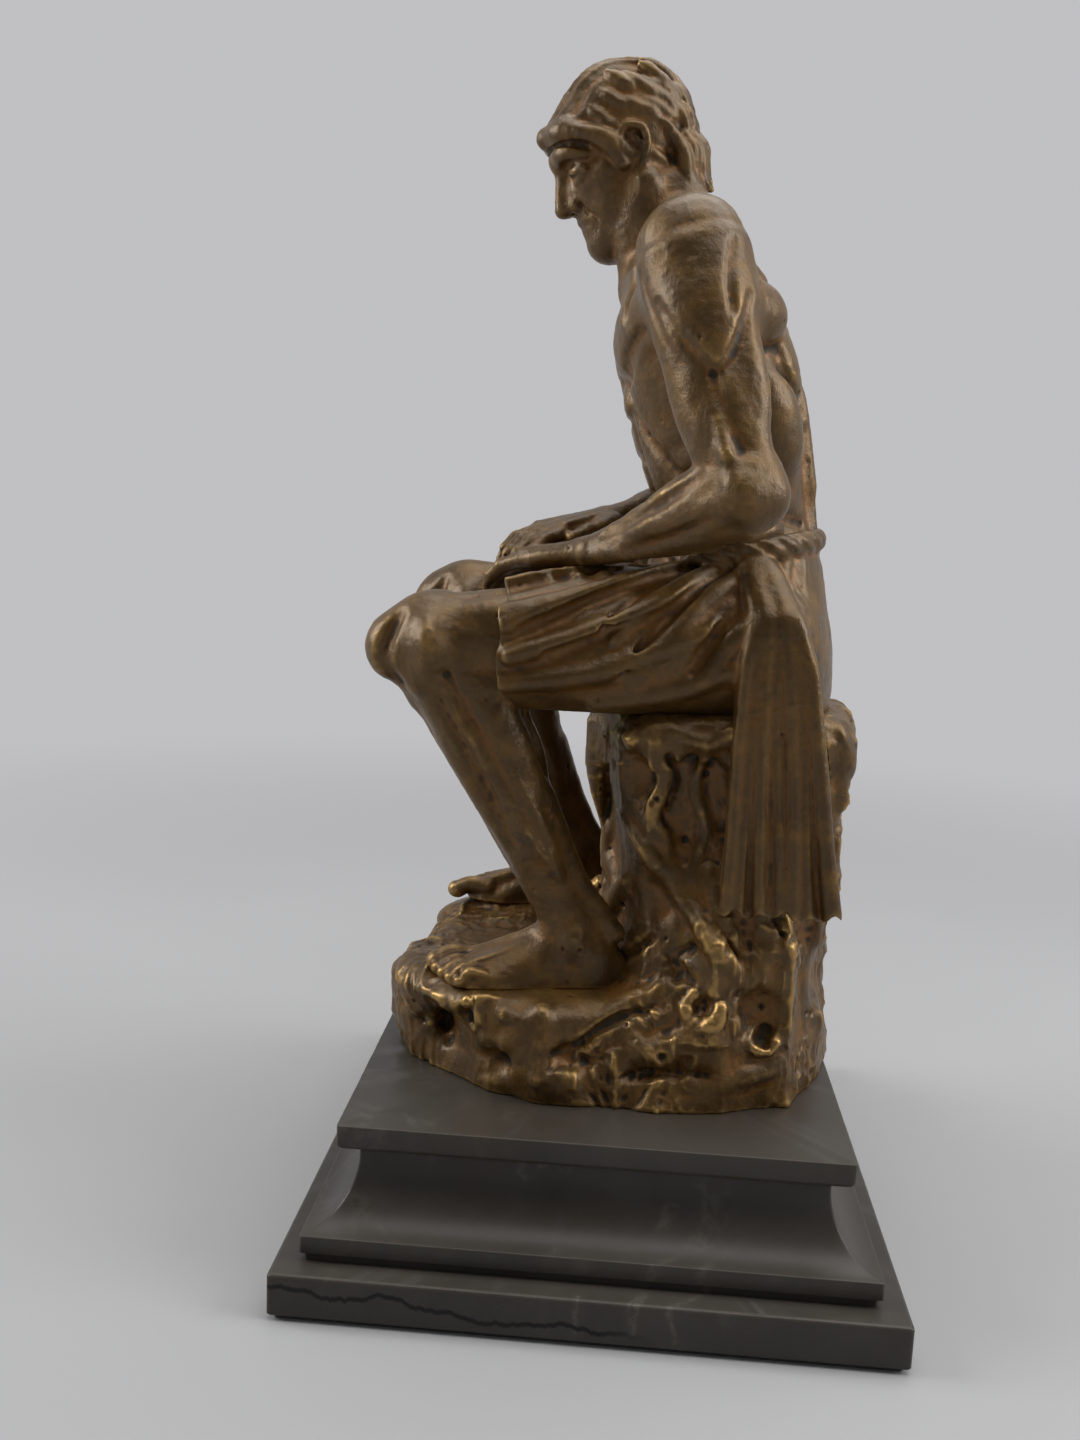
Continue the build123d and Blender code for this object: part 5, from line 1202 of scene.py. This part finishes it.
def crags(verts, n, seed, high, low, mask):
    """Sharp-edged roughness, strong in some places and nearly gone in others."""
    p = verts * np.array((1, 1, 0.75))
    p = p + np.stack([noise(p / 9.0 + 3.3 * i, seed + 10 + i) for i in range(3)], 1) * 3.0
    first = 1 - 2 * np.abs(noise(p / 9.0, seed))
    second = 1 - 2 * np.abs(noise(p / 4.4 + 7.7, seed + 1))
    third = 1 - 2 * np.abs(noise(p / 2.2 + 1.9, seed + 2))
    where = np.clip(0.62 + 1.6 * noise(verts / 15.0, seed + 3) + mask, 0.15, 1.4)
    return verts + n * ((high * first + low * (0.7 * second + 0.45 * third)) * where)[:, None]


def dents(verts, n, seed, count, radius, depth, keep=None):
    """Small pits and nicks at seeded places."""
    rng = np.random.default_rng(seed)
    spots = rng.choice(len(verts), count, replace=False)
    if keep is not None:
        spots = [i for i in spots if keep(verts[i])]
    tree = kdtree.KDTree(len(verts))
    for i, v in enumerate(verts):
        tree.insert(v, i)
    tree.balance()
    push = np.zeros(len(verts))
    for i in spots:
        r = radius * rng.uniform(0.5, 1.5)
        deep = depth * rng.uniform(0.4, 1.3)
        for _, j, dist in tree.find_range(verts[i], r * 1.6):
            q = dist / r
            if q < 1:
                push[j] = min(push[j], -deep * math.exp(-2.2 * q * q * q * q))
            else:
                push[j] += 0.10 * deep * math.exp(-((q - 1.2) * 4) ** 2)
    return verts + n * push[:, None]


def wear_and_shade_marks(mesh, verts, faces, n, step):
    """Stores how far each place stands out of, or lies in, its surroundings: the heights that drive
    the rubbed wear, the ochre patina and the painted shade in the creases.
    """
    for name, reach, share in (("fine", 1.7, 2.4), ("broad", 4.6, 6.5)):
        soft = ease(verts, faces, round((reach / step) ** 2), 0.6)
        out = ((verts - soft) * n).sum(1)
        attribute = mesh.attributes.new(name, "FLOAT", "POINT")
        attribute.data.foreach_set("value", (out / share).astype(np.float32))


# ---------------------------------------------------------------- the base
def moulding(profile, corner, seed, chips, segments=90):
    """A profile of insets and heights carried round the base, with its corners mitred."""
    corners = ((1, 1), (-1, 1), (-1, -1), (1, -1))
    rings = []
    for inset, z in profile:
        hx, hy = WIDTH / 2 - inset - corner, DEPTH / 2 - inset - corner

        def bend(c, degrees):
            a = math.radians(degrees)
            cx, cy = corners[c % 4]
            return cx * hx + corner * math.cos(a), cy * hy + corner * math.sin(a)

        ring = []
        for c in range(4):
            ring += [bend(c, 90 * c + i * 22.5) for i in range(5)]
            p, q = np.array(ring[-1]), np.array(bend(c + 1, 90 * c + 90))
            ring += [tuple(p + (q - p) * i / segments) for i in range(1, segments)]
        rings.append([(x, y, z) for x, y in ring])
    verts = np.array(rings)
    rows, count = verts.shape[:2]
    verts = verts.reshape(-1, 3)
    i, j = np.meshgrid(np.arange(rows - 1) * count, np.arange(count), indexing="ij")
    k = (j + 1) % count
    faces = np.stack([i + j, i + k, i + count + k, i + count + j], -1).reshape(-1, 4)
    n = normals(verts, faces)
    sharp = ((verts - ease(verts, faces, 3, 0.6)) * n).sum(1)
    chip = np.clip(noise(verts / 2.3, seed) - 0.45, 0, 1) * np.clip(sharp / 0.12, 0, 1) * chips
    verts = verts - n * chip[:, None]
    caps = [list(range(count))[::-1], list(range((rows - 1) * count, rows * count))]
    return verts, faces, caps, sharp


def moulded(name, profile, corner, material, slot, replaced, seed, chips=0.35):
    """A moulded piece of the base, as an object in metres in place of a CAD node."""
    verts, faces, caps, sharp = moulding(profile, corner, seed, chips)
    mesh = bpy.data.meshes.new(name)
    mesh.from_pydata((verts * MM).tolist(), [], faces.tolist() + caps)
    mesh.polygons.foreach_set("use_smooth", np.ones(len(mesh.polygons), bool))
    mesh.polygons[-1].use_smooth = mesh.polygons[-2].use_smooth = False
    edge = mesh.attributes.new("fine", "FLOAT", "POINT")
    edge.data.foreach_set("value", sharp.astype(np.float32))
    mesh.set_sharp_from_angle(angle=math.radians(40))
    place(name, mesh, material, slot, replaced)


def rounded(points, radius, count=4):
    """A profile whose named corners are eased: points are (inset, z, round)."""
    out = []
    for i, (x, z, r) in enumerate(points):
        if r == 0 or i in (0, len(points) - 1):
            out.append((x, z))
            continue
        p, a, b = np.array([x, z]), np.array(points[i - 1][:2]), np.array(points[i + 1][:2])
        da, db = unit(a - p) * r * radius, unit(b - p) * r * radius
        for t in np.linspace(0, 1, count + 1):
            out.append(tuple((1 - t) ** 2 * (p + da) + 2 * t * (1 - t) * p + t * t * (p + db)))
    return out


# ---------------------------------------------------------------- materials
class Nodes:
    """Short calls for building a material's nodes."""

    def __init__(self, name):
        self.material = bpy.data.materials.new(name)
        self.material.use_nodes = True
        self.tree = self.material.node_tree
        self.shader = self.tree.nodes["Principled BSDF"]
        self.output = self.tree.nodes["Material Output"]
        self.place = self.tree.nodes.new("ShaderNodeTexCoord").outputs["Object"]

    def put(self, socket, value):
        if isinstance(value, bpy.types.NodeSocket):
            self.tree.links.new(value, socket)
        elif value is not None:
            socket.default_value = value

    def node(self, kind, **inputs):
        n = self.tree.nodes.new("ShaderNode" + kind)
        for key, value in inputs.items():
            if hasattr(n, key) and key not in n.inputs:
                setattr(n, key, value)
            else:
                self.put(n.inputs[key], value)
        return n

    def noise(self, scale, detail=4.0, rough=0.55, place=None, distort=0.0):
        n = self.node("TexNoise", Scale=scale, Detail=detail, Roughness=rough, Distortion=distort)
        self.put(n.inputs["Vector"], place or self.place)
        return n.outputs["Fac"]

    def stretch(self, scale, turn=(0, 0, 0)):
        n = self.node("Mapping", Scale=scale, Rotation=turn)
        self.put(n.inputs["Vector"], self.place)
        return n.outputs["Vector"]

    def value(self, name):
        return self.node("Attribute", attribute_name=name).outputs["Fac"]

    def math(self, operation, a, b=0.0):
        n = self.tree.nodes.new("ShaderNodeMath")
        n.operation = operation
        self.put(n.inputs[0], a)
        self.put(n.inputs[1], b)
        return n.outputs[0]

    def times(self, a, b):
        return self.math("MULTIPLY", a, b)

    def plus(self, a, b):
        return self.math("ADD", a, b)

    def minus(self, a, b):
        return self.math("SUBTRACT", a, b)

    def sway(self, value, share):
        """A noise moved to lie round nothing, and scaled."""
        return self.times(self.minus(value, 0.5), share)

    def away(self, value, middle):
        return self.math("ABSOLUTE", self.minus(value, middle))

    def span(self, value, low, high, to_low=0.0, to_high=1.0):
        n = self.tree.nodes.new("ShaderNodeMapRange")
        n.interpolation_type = "SMOOTHSTEP"
        for i, v in enumerate((value, low, high, to_low, to_high)):
            self.put(n.inputs[i], v)
        return n.outputs[0]

    def blend(self, share, a, b):
        n = self.tree.nodes.new("ShaderNodeMix")
        n.data_type = "RGBA"
        n.blend_type = "MIX"
        n.clamp_factor = True
        self.put(n.inputs[0], share)
        self.put(n.inputs[6], (*a, 1.0) if isinstance(a, tuple) else a)
        self.put(n.inputs[7], (*b, 1.0) if isinstance(b, tuple) else b)
        return n.outputs[2]

    def bump(self, height, strength, distance, normal=None):
        n = self.node("Bump", Strength=strength, Distance=distance, Height=height)
        if normal is not None:
            self.put(n.inputs["Normal"], normal)
        return n.outputs["Normal"]

    def set(self, **inputs):
        for key, value in inputs.items():
            self.put(self.shader.inputs[key.replace("_", " ")], value)
        return self.material


def bronze_material(name, low, high, gold, pitting=0.34, verdigris=None):
    """Brown patina over bronze, rubbed gold on the edges, and painted shade in the creases.

    Wear starts at the height low over its surroundings, and is full near high; the painted crease
    shade takes its span from the same heights."""
    m = Nodes(name)
    fine, broad = m.value("fine"), m.value("broad")
    cloud = m.noise(26.0, 5.0, 0.6)
    mottle = m.noise(150.0, 6.0, 0.62)
    speck = m.noise(900.0, 4.0, 0.6)
    streak = m.noise(1.0, 5.0, 0.6, m.stretch((520.0, 520.0, 70.0)))
    across = m.noise(1.0, 5.0, 0.6, m.stretch((80.0, 560.0, 560.0), (0.0, 0.25, 0.0)))
    granule = m.noise(1700.0, 3.0, 0.65)
    brown = m.blend(m.span(cloud, 0.36, 0.64), (0.058, 0.030, 0.0086), (0.090, 0.047, 0.0130))
    brown = m.blend(m.span(mottle, 0.42, 0.68), brown, (0.120, 0.060, 0.0110))
    brown = m.blend(m.times(m.span(speck, 0.52, 0.72), 0.35), brown, (0.036, 0.020, 0.008))
    # ochre patina in the shallow hollows, and painted shade, near black, at the bottom of the
    # creases
    hollow = m.plus(m.times(fine, -1.0), m.sway(mottle, low * 0.8))
    warm = m.span(m.plus(m.times(broad, -0.6), hollow), low * 0.2, high * 0.9)
    colour = m.blend(m.times(warm, 0.80), brown, (0.150, 0.060, 0.009))
    # painted shade: the deepest hollows are darkened to near black in the colour, and made rougher
    painted_crease_shade = m.span(hollow, low, high * 1.5)
    colour = m.blend(m.times(painted_crease_shade, 0.90), colour, (0.010, 0.008, 0.004))
    # rubbed edges
    ragged = m.plus(m.sway(m.noise(420.0, 5.0, 0.65), high * 1.1), fine)
    ragged = m.plus(ragged, m.sway(cloud, high * 0.9))
    rub = m.times(m.span(ragged, low * 2.0, high * 2.3), gold)
    colour = m.blend(rub, colour, (0.40, 0.245, 0.085))
    if verdigris:
        reach = m.node("VectorMath", operation="DISTANCE")
        m.put(reach.inputs[0], m.place)
        m.put(reach.inputs[1], verdigris)
        near = m.span(reach.outputs["Value"], 0.0085, 0.002)
        colour = m.blend(m.times(near, m.span(mottle, 0.42, 0.60)), colour, (0.15, 0.17, 0.012))
    rough = m.plus(m.span(mottle, 0.3, 0.7, 0.34, 0.46), m.sway(streak, 0.12))
    rough = m.minus(m.plus(rough, m.times(painted_crease_shade, 0.25)), m.times(rub, 0.06))
    grain = m.bump(granule, 0.55, 0.00013)
    grain = m.bump(streak, 0.34, 0.00022, grain)
    grain = m.bump(across, 0.22, 0.00020, grain)
    grain = m.bump(m.noise(700.0, 5.0, 0.62), pitting, 0.00030, grain)
    return m.set(Base_Color=colour, Metallic=m.plus(0.32, m.times(rub, 0.50)), Roughness=rough,
                 Normal=grain, Specular_IOR_Level=0.55, Specular_Tint=(1.0, 0.93, 0.80, 1.0),
                 Coat_Weight=0.06, Coat_Roughness=0.30, Coat_IOR=1.5, Coat_Normal=grain)


def marble_material(name, waves):
    """Black marble with faint grey clouds, thin pale threads and one black wandering vein."""
    m = Nodes(name)
    cloud = m.noise(16.0, 8.0, 0.62, distort=0.8)
    fleck = m.noise(420.0, 5.0, 0.7)
    grain = m.noise(1500.0, 3.0, 0.6)
    colour = m.blend(m.span(cloud, 0.35, 0.68), (0.0325, 0.0278, 0.0224), (0.0470, 0.0412, 0.0335))
    colour = m.blend(m.times(m.span(fleck, 0.50, 0.74), 0.5), colour, (0.040, 0.036, 0.030))
    colour = m.blend(m.times(m.span(grain, 0.56, 0.74), 0.30), colour, (0.060, 0.055, 0.048))
    brown = m.span(m.noise(11.0, 4.0, 0.55, m.stretch((1, 1, 1.6), (0.7, 0.2, 0.4))), 0.50, 0.68)
    colour = m.blend(m.times(brown, 0.55), colour, (0.0400, 0.0265, 0.0165))
    # pale clouded threads, only in some patches
    squashed = m.stretch((1.0, 1.0, 0.45), (0.3, 0.5, 0.2))
    thread = m.away(m.noise(30.0, 4.0, 0.55, squashed, 0.8), 0.5)
    turned = m.stretch((1, 1, 1), (0.1, 0.0, 1.3))
    patch = m.times(m.span(m.noise(9.0, 3.0, 0.5, turned), 0.54, 0.66), 0.35)
    x, y, z = m.node("SeparateXYZ", Vector=m.place).outputs
    front = m.times(m.span(m.away(x, 0.002), 0.034, 0.010), m.span(y, -0.045, -0.060))
    patch = m.math("MAXIMUM", patch, m.times(front, m.span(z, 0.036, 0.028)))
    pale = m.times(m.times(m.span(thread, 0.030, 0.002), m.span(fleck, 0.40, 0.56)), patch)
    colour = m.blend(m.times(pale, 0.55), colour, (0.135, 0.122, 0.104))
    halo = m.times(m.span(thread, 0.075, 0.008), patch)
    colour = m.blend(m.times(halo, 0.30), colour, (0.062, 0.054, 0.044))
    # worn edges and dust on them
    edge = m.span(m.plus(m.value("fine"), m.sway(fleck, 0.10)), 0.035, 0.14)
    colour = m.blend(m.times(edge, 0.34), colour, (0.085, 0.072, 0.054))
    if waves:
        wander = m.plus(m.sway(m.noise(38.0, 6.0, 0.6, m.stretch((1, 1, 0.01))), 0.016),
                        m.times(m.minus(x, -0.062), -0.045))
        line = m.away(m.minus(z, 0.0072), wander)
        reach = m.times(m.span(x, 0.016, 0.002), m.span(y, -0.060, -0.070))
        vein = m.times(m.span(line, 0.00085, 0.00020), reach)
        colour = m.blend(vein, colour, (0.0010, 0.0010, 0.0010))
    rough = m.plus(m.span(cloud, 0.3, 0.7, 0.36, 0.44), m.times(edge, 0.20))
    rough = m.plus(rough, m.sway(fleck, 0.10))
    normal = m.bump(m.noise(1900.0, 3.0, 0.6), 0.10, 0.00006)
    normal = m.bump(m.noise(180.0, 4.0, 0.6), 0.10, 0.00020, normal)
    return m.set(Base_Color=colour, Roughness=rough, Normal=normal, Specular_IOR_Level=0.30)


def steel_material(name):
    """Turned steel, a little stained."""
    m = Nodes(name)
    turned = m.noise(1.0, 3.0, 0.6, m.stretch((900.0, 900.0, 5200.0)))
    stain = m.noise(220.0, 5.0, 0.6)
    colour = m.blend(m.span(stain, 0.45, 0.70), (0.52, 0.51, 0.49), (0.34, 0.32, 0.29))
    rough = m.plus(0.26, m.times(turned, 0.20))
    return m.set(Base_Color=colour, Metallic=1.0, Roughness=rough,
                 Normal=m.bump(turned, 0.15, 0.00005))


def felt_material(name):
    """Black felt, matted in places."""
    m = Nodes(name)
    fibre = m.noise(1.0, 6.0, 0.7, m.stretch((2600.0, 2600.0, 1600.0), (0.2, 0.4, 0.7)))
    matted = m.noise(160.0, 5.0, 0.6)
    colour = m.blend(m.span(fibre, 0.38, 0.66), (0.006, 0.006, 0.007), (0.022, 0.021, 0.022))
    colour = m.blend(m.times(m.span(matted, 0.45, 0.7), 0.4), colour, (0.030, 0.028, 0.028))
    rough = m.span(matted, 0.3, 0.7, 0.90, 1.0)
    normal = m.bump(fibre, 0.7, 0.00025)
    return m.set(Base_Color=colour, Roughness=rough, Normal=normal, Sheen_Weight=0.5,
                 Sheen_Roughness=0.5)


# ---------------------------------------------------------------- making the pieces
skin_bronze = bronze_material("figure_bronze", 0.020, 0.064, 0.66)
cloth_bronze = bronze_material("drape_bronze", 0.028, 0.090, 0.60)
rock_bronze = bronze_material("rock_bronze", 0.019, 0.062, 0.88, 0.45, (-0.0035, -0.0270, 0.1235))
slab_marble = marble_material("slab_marble", True)
block_marble = marble_material("block_marble", False)
steel = steel_material("fixing_steel")
felt = felt_material("black_felt")

for name in ("studs", "washers", "spring_washers", "nuts", "cross_bar"):
    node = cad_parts[name]
    node.data.materials.clear()
    node.data.materials.append(steel)


def carved(name, field, step, rounds, lumps, pits, looks, craggy=None):
    """A carved piece: the skin of its field, eased, worked over by hand, and given the heights that
    drive its wear and its painted crease shade.
    """
    verts, faces = skin(field)
    del field
    verts = ease(verts, faces, rounds, 0.4)
    n = normals(verts, faces)
    if craggy:
        verts = craggy(verts, n)
        n = normals(verts, faces)
    verts = dents(clay(verts, n, *lumps), n, *pits)
    verts[:, 2] = np.maximum(verts[:, 2], GROUND)
    mesh = smooth_mesh(name, verts, faces)
    wear_and_shade_marks(mesh, verts, faces, normals(verts, faces), step)
    place(name, mesh, *looks)


def rugged(verts, n):
    """The rock's roughness, stronger near its foot and under the seat."""
    z = verts[:, 2]
    more = np.clip((74 - z) / 40, -0.15, 0.05) + np.clip((z - 104) / 14, 0, 0.35)
    return crags(verts, n, 23, 0.58, 0.42, more)


step = 0.5
carved("man", build_man(step, step * 0.6), step * 0.85, 2, (3, 0.22, 0.07),
       (4, 170, 0.55, 0.35, lambda v: v[2] < 236),
       (skin_bronze, "bronze", "trunk", "head", "left_arm", "right_arm", "left_leg", "right_leg"))
step = 0.45
carved("drape", build_drape(step), step, 3, (13, 0.16, 0.06), (14, 50, 0.5, 0.3),
       (cloth_bronze, "cloth_bronze", "hips", "cloth_end"))
step = 0.5
carved("rock_surface", build_rock(step), step, 3, (26, 0.16, 0.06),
       (24, 170, 0.75, 0.7, lambda v: v[2] > 42), (rock_bronze, "rock_bronze", "rock"), rugged)


def arc(inset, across, z, rise, start, end, count):
    """Part of a quarter ellipse from a middle inset and height, as rows of a profile."""
    turns = [math.radians(a) for a in np.linspace(start, end, count)]
    return [(inset + across * math.sin(a), z + rise * math.cos(a), 0) for a in turns]


slab_profile = [(0.9, FELT_TOP, 0), (0.0, 1.5, 1), (0.0, 10.3, 1), (0.5, SLAB_TOP, 1),
                (30.0, SLAB_TOP, 0)]
moulded("slab", rounded(slab_profile, 0.30, 4), 0.8, slab_marble, "marble", "bottom_slab", 31)
fillet_rows = [(6.5, SLAB_TOP, 0), (6.5, 12.7, 1), (5.5, 12.7, 1), (5.5, 16.7, 1)]
cove = arc(5.5, 10.6, 31.2, -14.5, 4, 90, 22)
throat = [(16.1 - 2.4 * (1 - math.cos(math.radians(a))), 31.2 + 2.4 * math.sin(math.radians(a)), 0)
          for a in np.linspace(8, 90, 8)]
cap = arc(13.3, -1.5, 33.6 + 1.5, -1.5, 0, 84, 8) + [(11.8, GROUND, 1), (60.0, GROUND, 0)]
moulded("block", rounded(fillet_rows + cove + throat + cap, 0.28, 3), 0.7, block_marble,
        "marble", "moulded_block", 32)
felt_profile = [(2.0, 0.0, 0), (1.2, 0.0, 1), (1.2, FELT_TOP, 1), (2.0, FELT_TOP, 0)]
moulded("felt", rounded(felt_profile, 0.2, 3), 1.0, felt, "felt", "felt_sheet", 33, 0.0)


# ---------------------------------------------------------------- camera, floor and light
def camera():
    """The camera fitted to the base's corners: its turns, its place in metres, and its focal
    length as a share of the picture's width."""
    data = bpy.data.cameras.new("camera")
    cam = bpy.data.objects.new("camera", data)
    bpy.context.scene.collection.objects.link(cam)
    yaw, pitch, roll = -0.070, 0.159, 0.042
    forward = Vector((math.sin(yaw) * math.cos(pitch), math.cos(yaw) * math.cos(pitch),
                      -math.sin(pitch)))
    level = forward.cross(Vector((0, 0, 1))).normalized()
    rise = level.cross(forward)
    right = level * math.cos(roll) + rise * math.sin(roll)
    up = rise * math.cos(roll) - level * math.sin(roll)
    place = Vector((0.0026, -0.3178, 0.1713))
    rows = [(right[i], up[i], -forward[i], place[i]) for i in range(3)]
    cam.matrix_world = Matrix(rows + [(0, 0, 0, 1)])
    data.sensor_fit = "HORIZONTAL"
    data.sensor_width = 36.0
    data.lens = data.sensor_width * 1278.6 / 1080.0
    data.clip_start, data.clip_end = 0.01, 30.0
    bpy.context.scene.camera = cam


camera()
PAPER = (0.530, 0.530, 0.545)


def floor_material():
    """Grey paper that fades into the even colour of what is behind it."""
    m = Nodes("floor_paper")
    far = m.node("VectorMath", operation="LENGTH")
    m.put(far.inputs[0], m.place)
    away = m.span(far.outputs["Value"], 0.16, 0.70)
    tone = m.blend(m.span(m.noise(5.0, 2.0, 0.5), 0.3, 0.7), (0.328, 0.328, 0.332),
                   (0.340, 0.340, 0.344))
    m.set(Base_Color=tone, Roughness=0.75, Specular_IOR_Level=0.3)
    glow = m.node("Emission", Color=(*PAPER, 1.0), Strength=1.0)
    mix = m.node("MixShader")
    m.put(mix.inputs[0], away)
    m.put(mix.inputs[1], m.shader.outputs[0])
    m.put(mix.inputs[2], glow.outputs[0])
    m.put(m.output.inputs["Surface"], mix.outputs[0])
    return m.material


mesh = bpy.data.meshes.new("floor")
mesh.from_pydata([(-8, -8, 0), (8, -8, 0), (8, 8, 0), (-8, 8, 0)], [], [(0, 1, 2, 3)])
floor = bpy.data.objects.new("floor", mesh)
bpy.context.scene.collection.objects.link(floor)
mesh.materials.append(floor_material())

world = bpy.data.worlds.new("world")
bpy.context.scene.world = world
world.use_nodes = True
tree = world.node_tree
paths = tree.nodes.new("ShaderNodeLightPath")


def greater(a, b):
    most = tree.nodes.new("ShaderNodeMath")
    most.operation = "MAXIMUM"
    tree.links.new(a, most.inputs[0])
    tree.links.new(b, most.inputs[1])
    return most.outputs[0]


back = tree.nodes["Background"]
back.inputs["Color"].default_value = (0.80, 0.80, 0.82, 1)
back.inputs["Strength"].default_value = 0.31
paper = tree.nodes.new("ShaderNodeBackground")
paper.inputs["Color"].default_value = (*PAPER, 1)
# the metal sees the paper behind it, and the darker room on the side of the camera
way = tree.nodes.new("ShaderNodeSeparateXYZ")
tree.links.new(tree.nodes.new("ShaderNodeTexCoord").outputs["Generated"], way.inputs[0])
room = tree.nodes.new("ShaderNodeMapRange")
room.interpolation_type = "SMOOTHSTEP"
for i, v in enumerate((-0.55, 0.60, 0.07, 1.0)):
    room.inputs[i + 1].default_value = v
tree.links.new(way.outputs["Y"], room.inputs[0])
seen, glossy, through = (
    paths.outputs[f"Is {kind} Ray"] for kind in ("Camera", "Glossy", "Transmission")
)
tree.links.new(greater(seen, room.outputs[0]), paper.inputs["Strength"])
mix = tree.nodes.new("ShaderNodeMixShader")
tree.links.new(greater(greater(seen, glossy), through), mix.inputs[0])
tree.links.new(back.outputs[0], mix.inputs[1])
tree.links.new(paper.outputs[0], mix.inputs[2])
tree.links.new(mix.outputs[0], tree.nodes["World Output"].inputs["Surface"])


def lamp(name, where, target, size, power):
    data = bpy.data.lights.new(name, "AREA")
    data.shape, data.energy = "RECTANGLE", power
    data.size, data.size_y = size
    light = bpy.data.objects.new(name, data)
    light.location = where
    light.rotation_euler = (Vector(target) - Vector(where)).to_track_quat("-Z", "Y").to_euler()
    bpy.context.scene.collection.objects.link(light)


lamp("top", (0.12, 0.02, 0.85), (0, 0, 0.12), (0.85, 0.85), 7.0)
lamp("left", (-0.75, -0.02, 0.50), (0, 0, 0.15), (0.36, 0.50), 4.8)
lamp("right", (0.72, -0.10, 0.50), (0, 0, 0.14), (0.36, 0.50), 4.2)
bpy.context.scene.view_settings.view_transform = "Standard"
